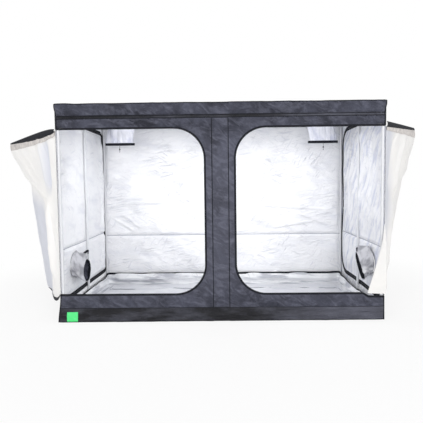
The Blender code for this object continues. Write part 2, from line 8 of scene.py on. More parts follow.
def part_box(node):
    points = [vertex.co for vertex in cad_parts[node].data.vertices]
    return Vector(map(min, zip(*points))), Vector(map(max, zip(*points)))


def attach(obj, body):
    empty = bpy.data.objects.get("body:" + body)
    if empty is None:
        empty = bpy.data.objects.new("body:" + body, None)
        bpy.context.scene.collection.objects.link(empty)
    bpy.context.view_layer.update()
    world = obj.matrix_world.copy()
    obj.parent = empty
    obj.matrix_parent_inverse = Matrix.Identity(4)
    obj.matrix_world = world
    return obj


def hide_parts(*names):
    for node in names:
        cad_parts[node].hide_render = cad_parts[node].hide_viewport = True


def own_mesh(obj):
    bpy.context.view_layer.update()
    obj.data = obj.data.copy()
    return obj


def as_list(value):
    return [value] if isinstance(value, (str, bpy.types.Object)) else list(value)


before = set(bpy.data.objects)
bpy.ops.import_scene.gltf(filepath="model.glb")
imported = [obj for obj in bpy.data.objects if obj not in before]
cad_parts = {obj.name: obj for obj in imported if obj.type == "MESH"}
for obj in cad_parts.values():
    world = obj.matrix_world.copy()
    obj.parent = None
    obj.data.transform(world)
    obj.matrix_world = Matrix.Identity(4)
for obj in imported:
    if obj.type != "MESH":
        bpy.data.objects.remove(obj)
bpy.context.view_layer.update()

# Sizes read from the frame
COVER_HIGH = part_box("roof_panel")[1]
HALF_WIDTH = COVER_HIGH.x
HALF_DEPTH = COVER_HIGH.y
HEIGHT = COVER_HIGH.z
TRAY_LOW, TRAY_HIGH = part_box("floor_tray")
POST_LOW, POST_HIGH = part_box("corner_post_back_right")
POLE_RADIUS = (POST_HIGH.x - POST_LOW.x) / 2
POLE_X = (POST_HIGH.x + POST_LOW.x) / 2
POLE_Y = (POST_HIGH.y + POST_LOW.y) / 2
RAIL_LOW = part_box("roof_rail_back")[0]
FLOOR_RAIL_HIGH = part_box("floor_rail_back")[1]
POLE_WALL = 0.0015

# Front panel
CLOTH = 0.002
GAP = 0.0003
SILL_TOP = 0.25
HEADER_BOTTOM = HEIGHT - 0.22
HALF_MULLION = 0.142
OPENING_CORNER = 0.28
CHANNEL_LOW = 1.869
CHANNEL_HIGH = 1.901
SILL_SEAM = 0.125
MULLION_SEAMS = (-0.073, 0.079)

# Front doors: swing is the angle from straight out sideways towards the back, by share of the door's height
DOOR_CLEARANCE = 0.008
DOOR_CLOTH = 0.0025
LEFT_SWING_SHARES = ((0.0, 60.5), (0.25, 57.7), (0.55, 55.0), (0.7, 54.5), (0.83, 51.0), (1.0, 44.5))
RIGHT_SWING_SHARES = ((0.0, 69.0), (0.27, 65.5), (0.6, 61.5), (0.82, 59.3), (1.0, 55.0))
LEFT_CORNER_RISE = -0.045
RIGHT_CORNER_RISE = 0.08
RISE_POWER = 4
MAIN_FOLD_DEPTH = 0.035
MAIN_FOLD_WIDTH = 0.07
MAIN_FOLD_FREE_SHARE = 0.72
MAIN_FOLD_HINGE_SHARE = 0.5
FLUTE_DEPTH = 0.014
FLUTE_COUNT = 2.0
FLUTE_LEAN_SHARE = 0.35
HINGE_X = HALF_WIDTH + DOOR_CLOTH / 2 + GAP
HINGE_Y = -HALF_DEPTH + CLOTH - DOOR_CLOTH / 2 - GAP
DOOR_WIDTH = HINGE_X - HALF_MULLION - DOOR_CLEARANCE
DOOR_LOW = SILL_TOP + DOOR_CLEARANCE
DOOR_HIGH = HEADER_BOTTOM - DOOR_CLEARANCE
DOOR_CORNER = OPENING_CORNER - DOOR_CLEARANCE
DOOR_HEIGHT = DOOR_HIGH - DOOR_LOW

# Side doors
SIDE_DOOR_LOW = 0.18
SIDE_DOOR_HIGH = HEIGHT - 0.10
SIDE_DOOR_FRONT = -HALF_DEPTH + 0.04
SIDE_DOOR_BACKS = {-1: HALF_DEPTH - 0.028, 1: HALF_DEPTH - 0.05}
SIDE_DOOR_CORNERS = {-1: 0.05, 1: 0.2}
SIDE_DOOR_CLEARANCE = 0.002
SIDE_SEAM = 0.66
BACK_SEAM = 0.62

# Sleeves
ROOF_SLEEVE_RADIUS = 0.16
ROOF_SLEEVE_X = 1.12
ROOF_SLEEVE_Y = 0.24
ROOF_SLEEVE_DROP = 0.30
VENT_RADIUS = 0.10
VENT_Y = -HALF_DEPTH + 0.35
VENT_Z = 0.46
VENT_LENGTH = 0.11
VENT_COLLAR = 0.006
SLEEVE_HEM = 0.025

# Straps, cords and locks
STRAP_OUT = 0.112
STRAP_SEAT = 0.016
STRAP_TOP = 0.585
STRAP_HALF = 0.011
CORD_RADIUS = 0.0015
ROOF_CORD_LENGTH = 0.075

# Directions
UP = (0, 0, 1)
HANDS = (("left", -1), ("right", 1))

# Cloth made here
FILM_STEP = 0.0125
CANVAS_STEP = 0.02
LINING_STEP = 0.02
SIDE_CANVAS_STEP = 0.018
ROOF_FILM_STEP = 0.0175
TRAY_STEP = 0.015
FLOOR_STEP = 0.03
EDGE_STEP = 0.05
EDGE_CLEAR = 0.0005
LAYER_GAP = 0.0012
TAPE_THICKNESS = 0.0016
BINDING_WIDTH = 0.014
BINDING_THICKNESS = 0.004
STITCH_PITCH = 0.009
STITCH_LENGTH = 0.0055
STITCH_WIDTH = 0.0011
STITCH_HEIGHT = 0.0006

# Camera: its place in metres, its turns in degrees, and pixels of a picture 423 wide and high
CAMERA_PLACE = (0.0721, -4.7157, 1.2925)
CAMERA_YAW = 0.992
CAMERA_PITCH = -3.502
CAMERA_ROLL = 0.647
PICTURE_SIDE = 423.0
FOCAL_PIXELS = 433.09
CENTRE_ACROSS_PIXELS = 220.75
CENTRE_DOWN_PIXELS = 207.75
SENSOR = 36.0


# Camera, light and floor
def make_camera():
    data = bpy.data.cameras.new("camera")
    data.sensor_width = SENSOR
    data.lens = SENSOR * FOCAL_PIXELS / PICTURE_SIDE
    data.shift_x = (PICTURE_SIDE / 2 - CENTRE_ACROSS_PIXELS) / PICTURE_SIDE
    data.shift_y = (CENTRE_DOWN_PIXELS - PICTURE_SIDE / 2) / PICTURE_SIDE
    camera = bpy.data.objects.new("camera", data)
    bpy.context.scene.collection.objects.link(camera)
    turn = Matrix.Rotation(math.radians(CAMERA_YAW), 4, "Z")
    turn @= Matrix.Rotation(math.radians(CAMERA_PITCH), 4, "X")
    turn @= Matrix.Rotation(math.radians(CAMERA_ROLL), 4, "Y")
    upright = Matrix.Rotation(math.radians(90), 4, "X")
    camera.matrix_world = Matrix.Translation(CAMERA_PLACE) @ turn @ upright
    bpy.context.scene.camera = camera


KEY_LAMP = {"place": (5.0, -8.5, 3.6), "aim": (-0.3, 0.0, 0.9), "size": (5.0, 3.0), "power": 215}
FILL_LAMP = {"place": (-5.4, -8.5, 3.4), "aim": (0.3, 0.0, 0.8), "size": (5.0, 3.0), "power": 155}
FRONT_LAMP = {"place": (0.0, -10.0, 1.9), "aim": (0.0, 0.7, 1.0), "size": (5.0, 2.0), "power": 160}
INNER_LAMP = {"place": (0.0, -0.60, 1.40), "aim": (0.0, 0.75, 0.85), "size": (2.6, 0.7), "power": 5}
ROOF_LAMP = {"place": (0.0, -0.10, 1.92), "aim": (0.0, 0.0, 0.0), "size": (2.5, 0.9), "power": 8.5}
BACKGROUND_STRENGTH = 1.0
AMBIENT_STRENGTH = 0.66


def make_lamp(name, place, aim, size, power, seen=True):
    data = bpy.data.lights.new(name, "AREA")
    data.shape = "RECTANGLE"
    data.size, data.size_y = size
    data.energy = power
    lamp = bpy.data.objects.new(name, data)
    bpy.context.scene.collection.objects.link(lamp)
    lamp.location = place
    lamp.visible_camera = seen
    lamp.visible_glossy = seen
    lamp.rotation_mode = "QUATERNION"
    lamp.rotation_quaternion = (Vector(aim) - Vector(place)).to_track_quat("-Z", "Y")


def seen_directly(tree):
    """A value that is 1 for camera, glossy and transmission rays."""
    path = tree.nodes.new("ShaderNodeLightPath")
    total = tree.nodes.new("ShaderNodeMath")
    total.operation = "MAXIMUM"
    tree.links.new(path.outputs["Is Camera Ray"], total.inputs[0])
    tree.links.new(path.outputs["Is Glossy Ray"], total.inputs[1])
    both = tree.nodes.new("ShaderNodeMath")
    both.operation = "MAXIMUM"
    tree.links.new(total.outputs[0], both.inputs[0])
    tree.links.new(path.outputs["Is Transmission Ray"], both.inputs[1])
    return both.outputs[0]


def make_world():
    world = bpy.data.worlds.new("studio")
    bpy.context.scene.world = world
    world.use_nodes = True
    tree = world.node_tree
    tree.nodes.clear()
    ambient = tree.nodes.new("ShaderNodeBackground")
    ambient.inputs["Strength"].default_value = AMBIENT_STRENGTH
    white = tree.nodes.new("ShaderNodeBackground")
    white.inputs["Strength"].default_value = BACKGROUND_STRENGTH
    for shader in (ambient, white):
        shader.inputs["Color"].default_value = (1, 1, 1, 1)
    mix = tree.nodes.new("ShaderNodeMixShader")
    output = tree.nodes.new("ShaderNodeOutputWorld")
    tree.links.new(seen_directly(tree), mix.inputs["Fac"])
    tree.links.new(ambient.outputs[0], mix.inputs[1])
    tree.links.new(white.outputs[0], mix.inputs[2])
    tree.links.new(mix.outputs[0], output.inputs["Surface"])


FLOOR_HALF = 60.0
FLOOR_DROP = 0.0006
FLOOR_COLOUR = (0.93, 0.93, 0.935)
SHADOW_REACH = (2.0, 4.0)
FLOOR_WHITE_SHARE = 0.85


def make_floor():
    """A pale floor that keeps the shadow near the tent and turns white further away."""
    bpy.ops.mesh.primitive_plane_add(size=2 * FLOOR_HALF, location=(0, 0, -FLOOR_DROP))
    floor = bpy.context.object
    floor.name = "floor"
    material = bpy.data.materials.new("floor")
    material.use_nodes = True
    tree = material.node_tree
    tree.nodes.clear()
    matt = tree.nodes.new("ShaderNodeBsdfDiffuse")
    matt.inputs["Color"].default_value = (*FLOOR_COLOUR, 1)
    white = tree.nodes.new("ShaderNodeEmission")
    white.inputs["Strength"].default_value = BACKGROUND_STRENGTH
    place = tree.nodes.new("ShaderNodeNewGeometry")
    distance = tree.nodes.new("ShaderNodeVectorMath")
    distance.operation = "LENGTH"
    away = tree.nodes.new("ShaderNodeMapRange")
    away.interpolation_type = "SMOOTHSTEP"
    away.inputs["From Min"].default_value, away.inputs["From Max"].default_value = SHADOW_REACH
    away.inputs["To Min"].default_value = FLOOR_WHITE_SHARE
    seen = tree.nodes.new("ShaderNodeMath")
    seen.operation = "MULTIPLY"
    mix = tree.nodes.new("ShaderNodeMixShader")
    output = tree.nodes.new("ShaderNodeOutputMaterial")
    tree.links.new(place.outputs["Position"], distance.inputs[0])
    tree.links.new(distance.outputs["Value"], away.inputs["Value"])
    tree.links.new(away.outputs["Result"], seen.inputs[0])
    tree.links.new(seen_directly(tree), seen.inputs[1])
    tree.links.new(seen.outputs[0], mix.inputs["Fac"])
    tree.links.new(matt.outputs[0], mix.inputs[1])
    tree.links.new(white.outputs[0], mix.inputs[2])
    tree.links.new(mix.outputs[0], output.inputs["Surface"])
    floor.data.materials.append(material)


# Materials
def new_material(name, colour, roughness, metallic=0.0, sheen=0.0, specular=0.5):
    material = bpy.data.materials.new(name)
    material.use_nodes = True
    shader = material.node_tree.nodes["Principled BSDF"]
    shader.inputs["Base Color"].default_value = (*colour, 1)
    shader.inputs["Roughness"].default_value = roughness
    shader.inputs["Metallic"].default_value = metallic
    shader.inputs["Sheen Weight"].default_value = sheen
    shader.inputs["Specular IOR Level"].default_value = specular
    return material, material.node_tree, shader


def coordinates(tree, source, scale=(1, 1, 1), degrees=0):
    """Object or UV coordinates in metres, turned and then scaled."""
    node = tree.nodes.new("ShaderNodeTexCoord")
    mapping = tree.nodes.new("ShaderNodeMapping")
    mapping.vector_type = "TEXTURE"
    mapping.inputs["Scale"].default_value = tuple(1 / value for value in scale)
    mapping.inputs["Rotation"].default_value = (0, 0, math.radians(degrees))
    tree.links.new(node.outputs[source], mapping.inputs["Vector"])
    return mapping.outputs["Vector"]


def noise(tree, where, scale, detail=3.0, roughness=0.55, distortion=0.0):
    node = tree.nodes.new("ShaderNodeTexNoise")
    node.inputs["Scale"].default_value = scale
    node.inputs["Detail"].default_value = detail
    node.inputs["Roughness"].default_value = roughness
    node.inputs["Distortion"].default_value = distortion
    tree.links.new(where, node.inputs["Vector"])
    return node.outputs["Fac"]


def ramp(tree, value, source, target=(0.0, 1.0)):
    node = tree.nodes.new("ShaderNodeMapRange")
    node.inputs["From Min"].default_value, node.inputs["From Max"].default_value = source
    node.inputs["To Min"].default_value, node.inputs["To Max"].default_value = target
    tree.links.new(value, node.inputs["Value"])
    return node.outputs["Result"]


def combined(tree, operation, first, second):
    """Two values multiplied, added, or the larger of them."""
    node = tree.nodes.new("ShaderNodeMath")
    node.operation = operation
    tree.links.new(first, node.inputs[0])
    tree.links.new(second, node.inputs[1])
    return node.outputs[0]


# Noise over cloth: scale, angle in degrees, size, detail, roughness, distortion
PLAIN = (1, 1, 1)
NOISES = {
    "film_crinkle": ((10, 28, 1), 14, 1.0, 5.0, 0.6, 0.8),
    "film_grain": (PLAIN, 0, 120.0, 4.0),
    "lining_shade": (PLAIN, 0, 3.0, 3.0),
    "lining_soft": ((9, 4, 1), 20, 1.0, 3.0, 0.5, 0.8),
    "lining_fine": (PLAIN, 0, 60.0, 5.0),
    "hem_pleat": ((42, 1, 1), 0, 1.0, 2.0),
    "canvas_tone": (PLAIN, 0, 5.0, 8.0, 0.62, 0.6),
    "canvas_streaks": ((6, 13, 1), -24, 1.0, 6.0, 0.62, 1.6),
    "canvas_cross_streaks": ((5, 12, 1), 70, 1.0, 6.0, 0.62, 1.6),
    "canvas_lumps": (PLAIN, 0, 10.0, 5.0),
    "skirt_tone": ((1, 2.5, 1), 0, 2.6, 7.0, 0.62),
    "skirt_streaks": ((3, 22, 1), 4, 1.0, 5.0, 0.6, 0.8),
    "skirt_lumps": ((1, 2, 1), 0, 7.0, 5.0),
}

# Bumps: strength and depth of each height
BUMPS = {
    "film": ((0.7, 0.006), (0.6, 0.010), (0.12, 0.0005)),
    "lining": ((0.4, 0.006), (0.22, 0.0012)),
    "hem": ((0.6, 0.004),),
    "canvas": ((0.9, 0.028), (0.9, 0.022), (0.8, 0.020), (0.3, 0.0003)),
    "skirt": ((0.9, 0.028), (0.9, 0.026), (0.18, 0.0003)),
    "tape": ((0.4, 0.0004),),
    "zip": ((0.8, 0.001),),
    "patch": ((0.35, 0.0003),),
}
STROKE_NOISE = (1.0, 4.0, 0.55, 0.35)
STROKE_PATCH_DETAIL = 2.0
STROKE_PATCH_EDGES = (0.44, 0.64)


def cloth_noise(tree, name):
    scale, degrees, *settings = NOISES[name]
    return noise(tree, coordinates(tree, "UV", scale, degrees), *settings)


def crease_streaks(tree, scale, degrees, patches, edges):
    """Short thin strokes from 0 to 1 at an angle, in some patches and not in others."""
    where = coordinates(tree, "UV", scale, degrees)
    stroke = ramp(tree, noise(tree, where, *STROKE_NOISE), edges)
    patch = noise(tree, coordinates(tree, "UV"), patches, STROKE_PATCH_DETAIL)
    return combined(tree, "MULTIPLY", stroke, ramp(tree, patch, STROKE_PATCH_EDGES))


def colour_mix(tree, factor, first, second):
    """Two colours mixed by a factor. The first can be a value of the tree."""
    mix = tree.nodes.new("ShaderNodeMix")
    mix.data_type = "RGBA"
    if isinstance(first, tuple):
        mix.inputs["A"].default_value = (*first, 1)
    else:
        tree.links.new(first, mix.inputs["A"])
    mix.inputs["B"].default_value = (*second, 1)
    tree.links.new(factor, mix.inputs["Factor"])
    return mix.outputs["Result"]


def blend_colours(tree, shader, factor, first, second):
    tree.links.new(colour_mix(tree, factor, first, second), shader.inputs["Base Color"])


def add_bump(tree, shader, heights, sizes):
    """Bumps, one after another, each with its strength and its depth in metres."""
    last = None
    for height, (strength, depth) in zip(heights, sizes):
        bump = tree.nodes.new("ShaderNodeBump")
        bump.inputs["Strength"].default_value = strength
        bump.inputs["Distance"].default_value = depth
        tree.links.new(height, bump.inputs["Height"])
        if last:
            tree.links.new(last.outputs["Normal"], bump.inputs["Normal"])
        last = bump
    tree.links.new(last.outputs["Normal"], shader.inputs["Normal"])


RIB_WAVE = 0.32


def weave(tree, pitch):
    """Threads that pass over and under each other, in UV coordinates in metres."""
    where = coordinates(tree, "UV", (1 / pitch, 1 / pitch, 1 / pitch))
    bands = []
    for direction in ("X", "Y"):
        band = tree.nodes.new("ShaderNodeTexWave")
        band.bands_direction = direction
        band.inputs["Scale"].default_value = RIB_WAVE
        tree.links.new(where, band.inputs["Vector"])
        bands.append(band.outputs["Fac"])
    checker = tree.nodes.new("ShaderNodeTexChecker")
    checker.inputs["Scale"].default_value = 1.0
    tree.links.new(where, checker.inputs["Vector"])
    mix = tree.nodes.new("ShaderNodeMix")
    tree.links.new(checker.outputs["Fac"], mix.inputs["Factor"])
    tree.links.new(bands[0], mix.inputs["A"])
    tree.links.new(bands[1], mix.inputs["B"])
    return mix.outputs["Result"]


# Strokes of the film, used as bumps and as painted crease shade: scale, angle in degrees, scale of the
# patches, edges of the noise
FILM_STROKES = (
    ((4, 46, 1), 10, 1.7, (0.56, 0.66)),
    ((6, 52, 1), -30, 2.3, (0.56, 0.66)),
    ((6, 48, 1), 58, 2.9, (0.57, 0.67)),
)
FILM_STROKE_PAINTED_SHADE = 0.52
# Soft patches of painted shade: scale, angle in degrees, edges of the noise, share of the crease shade colour
FAINT_PAINTED_SHADE = {"scale": (2.2, 7, 1), "degrees": -8, "edges": (0.50, 0.70), "share": 0.42}
WALL_PAINTED_SHADE = {"scale": (3.5, 17, 1), "degrees": -58, "edges": (0.48, 0.64), "share": 0.75}
BELLY_PAINTED_SHADE = {"scale": (2.4, 13, 1), "degrees": 4, "edges": (0.48, 0.60), "share": 0.9}
SLEEVE_PAINTED_SHADE = {"scale": (9, 16, 1), "degrees": 25, "edges": (0.48, 0.62), "share": 0.7}


def film_material(name, colour, painted_crease_shade, metallic=0.22, painted_shade_patches=FAINT_PAINTED_SHADE):
    """Crinkled silver-white film: short thin creases at several angles as bumps and as painted lavender-grey
    crease shade, with soft patches of painted shade.
    """
    material, tree, shader = new_material(name, colour, 0.40, metallic=metallic)
    strokes = [crease_streaks(tree, *stroke) for stroke in FILM_STROKES]
    lines_here = strokes[0]
    for stroke in strokes[1:]:
        lines_here = combined(tree, "MAXIMUM", lines_here, stroke)
    patchy = noise(tree, coordinates(tree, "UV", painted_shade_patches["scale"], painted_shade_patches["degrees"]), 1.0, 4.0, 0.55)
    soft = ramp(tree, patchy, painted_shade_patches["edges"], (0.0, painted_shade_patches["share"]))
    # tone is painted shade: the strokes and the soft patches mix the film towards its crease shade colour
    tone = combined(tree, "MAXIMUM", ramp(tree, lines_here, (0.0, 1.0), (0.0, FILM_STROKE_PAINTED_SHADE)), soft)
    blend_colours(tree, shader, tone, colour, painted_crease_shade)
    heights = (lines_here, cloth_noise(tree, "film_crinkle"), cloth_noise(tree, "film_grain"))
    add_bump(tree, shader, heights, BUMPS["film"])
    return material


def zone(tree, across, up, lean=0.0):
    """1 in part of a UV square with soft edges. A range is (start, full, full, end), tilted by lean."""
    split = tree.nodes.new("ShaderNodeSeparateXYZ")
    tree.links.new(coordinates(tree, "UV"), split.inputs[0])
    tilted = tree.nodes.new("ShaderNodeMath")
    tilted.operation = "MULTIPLY_ADD"
    tilted.inputs[1].default_value = -lean
    tree.links.new(split.outputs["X"], tilted.inputs[0])
    tree.links.new(split.outputs["Y"], tilted.inputs[2])
    total = None
    for value, (start, full, still, end) in ((split.outputs["X"], across), (tilted.outputs[0], up)):
        for source in ((start, full), (end, still)):
            edge = ramp(tree, value, source)
            total = combined(tree, "MULTIPLY", total, edge) if total else edge
    return total


LINING_CREAM = (0.93, 0.915, 0.89)
LINING_PAINTED_SHADE = (0.66, 0.675, 0.74)


def lining_material(name, painted_shade_zones, level):
    """Cream-white lining of a door, with soft creases, random mottling towards its shade colour and zones of
    painted shade where folds turn away from the light. level scales both colours: painted light above 1,
    painted shade below it.
    """
    cream, shade = (tuple(level * value for value in colour) for colour in (LINING_CREAM, LINING_PAINTED_SHADE))
    material, tree, shader = new_material(name, cream, 0.5, specular=0.35)
    total = ramp(tree, cloth_noise(tree, "lining_shade"), (0.35, 0.85), (0.0, 0.35))
    for across, up, lean in painted_shade_zones:
        total = combined(tree, "MAXIMUM", total, zone(tree, across, up, lean))
    blend_colours(tree, shader, total, cream, shade)
    heights = (cloth_noise(tree, "lining_soft"), cloth_noise(tree, "lining_fine"))
    add_bump(tree, shader, heights, BUMPS["lining"])
    return material


# Zones of painted shade on the doors' linings: ranges across and up in UV shares, and a lean
LEFT_LINING_PAINTED_SHADE_ZONES = (
    ((0.34, 0.56, 2.0, 3.0), (-1.0, -0.5, 0.40, 0.54), 0.16),
    ((0.10, 0.20, 0.22, 0.36), (0.58, 0.68, 0.92, 1.0), 0.0),
)
RIGHT_LINING_PAINTED_SHADE_ZONES = (
    ((-1.0, -0.5, 0.10, 0.30), (0.20, 0.50, 1.5, 2.0), 0.0),
)


def hem_material():
    """The pleated strip under a door's top edge."""
    cream, shade = (0.70, 0.66, 0.63), (0.52, 0.49, 0.48)
    material, tree, shader = new_material("door_hem", cream, 0.55, specular=0.3)
    pleat = cloth_noise(tree, "hem_pleat")
    # The pleats' valleys are painted darker: painted shade in the folds.
    blend_colours(tree, shader, ramp(tree, pleat, (0.40, 0.62)), cream, shade)
    add_bump(tree, shader, (pleat,), BUMPS["hem"])
    return material


CANVAS_WEAVE = 0.0012
PATCH_WEAVE = 0.0011
EVERYWHERE = (-99.0, -98.0, 98.0, 99.0)


CANVAS_MIDDLE = (0.15, 0.45, 1.55, 1.80)
CANVAS_SHEEN = 0.55


def canvas_material(name, middle_strength):
    """Black coated canvas: a blue-grey cast, a fine weave, paler streaks that are partly wear on creases and
    partly painted highlight, and a band at middle heights made paler by middle_strength.
    """
    dark, pale, wear_and_highlight_colour = (0.016, 0.017, 0.027), (0.072, 0.076, 0.108), (0.17, 0.175, 0.23)
    material, tree, shader = new_material(name, dark, 0.6, sheen=0.04, specular=0.25)
    shader.inputs["Sheen Roughness"].default_value = CANVAS_SHEEN
    tone = ramp(tree, cloth_noise(tree, "canvas_tone"), (0.33, 0.70))
    streaks = cloth_noise(tree, "canvas_streaks")
    wear_and_highlight_share = ramp(tree, streaks, (0.46, 0.72), (0.0, 0.50))
    middle = ramp(tree, zone(tree, EVERYWHERE, CANVAS_MIDDLE), (0.0, 1.0), (0.0, middle_strength))
    cloth = colour_mix(tree, tone, dark, pale)
    blend_colours(tree, shader, combined(tree, "ADD", wear_and_highlight_share, middle), cloth, wear_and_highlight_colour)
    lumps, cross_streaks = cloth_noise(tree, "canvas_lumps"), cloth_noise(tree, "canvas_cross_streaks")
    heights = (lumps, streaks, cross_streaks, weave(tree, CANVAS_WEAVE))
    add_bump(tree, shader, heights, BUMPS["canvas"])
    return material


SKIRT_PALER_END = (0.30, 0.95, 98.0, 99.0)


def skirt_material():
    """The smoother coated band along the foot of the front panel, paler towards its right end. Its darkness
    is partly the fabric's own and partly painted shade where the band tilts under.
    """
    dark, pale = (0.006, 0.006, 0.009), (0.105, 0.108, 0.140)
    material, tree, shader = new_material("black_coated_fabric_with_painted_shade", dark, 0.42, specular=0.25)
    tone = ramp(tree, cloth_noise(tree, "skirt_tone"), (0.46, 0.78), (0.0, 0.7))
    paler_end_share = ramp(tree, zone(tree, SKIRT_PALER_END, EVERYWHERE), (0, 1), (0.0, 0.62))
    blend_colours(tree, shader, combined(tree, "ADD", tone, paler_end_share), dark, pale)
    lumps, streaks = cloth_noise(tree, "skirt_lumps"), cloth_noise(tree, "skirt_streaks")
    add_bump(tree, shader, (lumps, streaks, weave(tree, CANVAS_WEAVE)), BUMPS["skirt"])
    return material


def ribs(tree, repeats):
    """Even stripes along a tape, from 0 to 1."""
    node = tree.nodes.new("ShaderNodeTexWave")
    node.inputs["Scale"].default_value = RIB_WAVE
    tree.links.new(coordinates(tree, "UV", (repeats,) * 3), node.inputs["Vector"])
    return node.outputs["Fac"]


def tape_material():
    """Ribbed black binding tape."""
    material, tree, shader = new_material("black_tape", (0.013, 0.014, 0.019), 0.70, specular=0.15)
    stripes = ribs(tree, 700)
    where = coordinates(tree, "Object")
    blend_colours(tree, shader, noise(tree, where, 25.0, 3.0), (0.008, 0.009, 0.013), (0.016, 0.017, 0.023))
    add_bump(tree, shader, (stripes,), BUMPS["tape"])
    return material


def zip_material():
    """A coil zip's chain: close ribs across the tape."""
    material, tree, shader = new_material("zip_chain", (0.010, 0.010, 0.013), 0.38, specular=0.25)
    stripes = ribs(tree, 420)
    blend_colours(tree, shader, stripes, (0.006, 0.006, 0.008), (0.022, 0.022, 0.028))
    add_bump(tree, shader, (stripes,), BUMPS["zip"])
    return material


PLAIN_BUMP_SHARE = 0.25


def plain_material(name, colour, roughness, grain, depth, metallic=0.0):
    """Moulded plastic, thread, powder coat: an even colour with a fine grain."""
    material, tree, shader = new_material(name, colour, roughness, metallic)
    where = coordinates(tree, "Object")
    darker = tuple(0.88 * value for value in colour)
    blend_colours(tree, shader, noise(tree, where, grain / 12, 3.0), colour, darker)
    add_bump(tree, shader, (noise(tree, where, grain, 3.0),), ((PLAIN_BUMP_SHARE, depth),))
    return material


def patch_material():
    material, tree, shader = new_material("plain_green", (0.075, 0.76, 0.20), 0.55)
    where = coordinates(tree, "Object")
    blend_colours(tree, shader, noise(tree, where, 60.0, 4.0), (0.065, 0.72, 0.19), (0.10, 0.80, 0.25))
    add_bump(tree, shader, (weave(tree, PATCH_WEAVE),), BUMPS["patch"])
    return material


MATERIALS = {
    # Copies of the film that paint light and shade: the left wall's is lighter; the tray's, the upstand's,
    # the sleeves' and the vents' are darker; the right wall's, the upstand's, the sleeves' and the vents'
    # carry more painted crease shade.
    "film": film_material("silver_film", (0.915, 0.92, 0.94), (0.66, 0.68, 0.76)),
    "tray": film_material("silver_tray_film_painted_shade", (0.86, 0.87, 0.90), (0.56, 0.58, 0.66)),
    "left_wall": film_material("silver_left_wall_film_painted_light", (0.945, 0.95, 0.965), (0.62, 0.64, 0.72)),
    "wall": film_material("silver_right_wall_film_painted_shade", (0.915, 0.92, 0.94), (0.56, 0.59, 0.72), painted_shade_patches=WALL_PAINTED_SHADE),
    "upstand": film_material(
        "silver_upstand_film_painted_shade", (0.88, 0.89, 0.91), (0.44, 0.45, 0.50), painted_shade_patches=BELLY_PAINTED_SHADE
    ),
    "sleeve": film_material("silver_sleeve_film_painted_shade", (0.74, 0.75, 0.81), (0.50, 0.52, 0.64), 0.4, SLEEVE_PAINTED_SHADE),
    "vent": film_material("silver_vent_film_painted_shade", (0.66, 0.66, 0.69), (0.26, 0.26, 0.29), 0.5, SLEEVE_PAINTED_SHADE),
    # The left lining's level paints light onto its door; the right lining's level paints shade.
    "left_lining": lining_material("left_door_film_painted_light", LEFT_LINING_PAINTED_SHADE_ZONES, 1.04),
    "right_lining": lining_material("right_door_film_painted_shade", RIGHT_LINING_PAINTED_SHADE_ZONES, 0.96),
    # The slack's lining is a darker copy: painted shade, so that the slack facing the lamps stays cream.
    "painted_shade_slack_lining": lining_material("slack_door_film_painted_shade", (), 0.86),
    "hem": hem_material(),
    "canvas": canvas_material("black_fabric", 0.0),
    "front_canvas": canvas_material("black_front_fabric", 0.22),
    "skirt": skirt_material(),
    "tape": tape_material(),
    "zip": zip_material(),
    # Film seams are drawn as grey tape: a painted shadow of the seam's fold.
    "seam": plain_material("grey_seam_painted_shadow", (0.46, 0.47, 0.53), 0.6, 900, 0.0003),
    "weld": plain_material("weld_grey", (0.20, 0.21, 0.26), 0.6, 900, 0.0003),
    "thread": plain_material("dark_thread", (0.050, 0.052, 0.064), 0.6, 900, 0.0003),
    "pale_thread": plain_material("pale_thread", (0.62, 0.63, 0.68), 0.6, 900, 0.0003),
    "pole": plain_material("white_powder_coat", (0.76, 0.77, 0.80), 0.42, 500, 0.0003),
    "plastic": plain_material("black_plastic", (0.014, 0.015, 0.019), 0.40, 700, 0.0003),
    "cord": plain_material("black_cord", (0.022, 0.022, 0.028), 0.75, 1500, 0.0006),
    "patch": patch_material(),
}


# Mesh helpers
def ease(share):
    share = np.clip(share, 0.0, 1.0)
    return share * share * (3 - 2 * share)


def band(value, low, high, edge):
    """1 between low and high, falling to 0 over an edge on either side."""
    return ease((value - low) / edge + 0.5) * ease((high - value) / edge + 0.5)


NOISE_TABLE = 256


def noise_cells(u, v, least, seed):
    """A random table's values at the corners of the cells that places are in, and the places in them."""
    table = np.random.default_rng(seed).uniform(least, 1, (NOISE_TABLE, NOISE_TABLE))
    u, v = u + NOISE_TABLE / 2, v + NOISE_TABLE / 2
    i, j = np.floor(u).astype(int), np.floor(v).astype(int)

    def corner(right, up):
        return table[(i + right) % NOISE_TABLE, (j + up) % NOISE_TABLE]

    return corner, u - i, v - j


def soft_noise(a, b, size, seed):
    """Smooth noise from -1 to 1, with bumps of about that size."""
    corner, s, t = noise_cells(np.asarray(a) / size, np.asarray(b) / size, -1, seed)
    s, t = ease(s), ease(t)
    low = corner(0, 0) * (1 - s) + corner(1, 0) * s
    high = corner(0, 1) * (1 - s) + corner(1, 1) * s
    return low * (1 - t) + high * t


def along_angle(a, b, degrees):
    """How far places are along an angle and across it."""
    turn = math.radians(degrees)
    return a * math.cos(turn) + b * math.sin(turn), -a * math.sin(turn) + b * math.cos(turn)


def facets(a, b, degrees, length, width, seed):
    """Flat facets from 0 to 1 with sharp creases between them, stretched along an angle."""
    along, across = along_angle(a, b, degrees)
    corner, s, t = noise_cells(along / length, across / width, 0, seed)
    low, high = corner(0, 0), corner(1, 1)
    across_first = low + s * (corner(1, 0) - low) + t * (high - corner(1, 0))
    up_first = low + t * (corner(0, 1) - low) + s * (high - corner(0, 1))
    return np.where(s > t, across_first, up_first)


RIDGE_SHARPNESS = 3.2
RIDGE_POWER = 1.5
RIDGE_PATCH_SHARE = 1.3


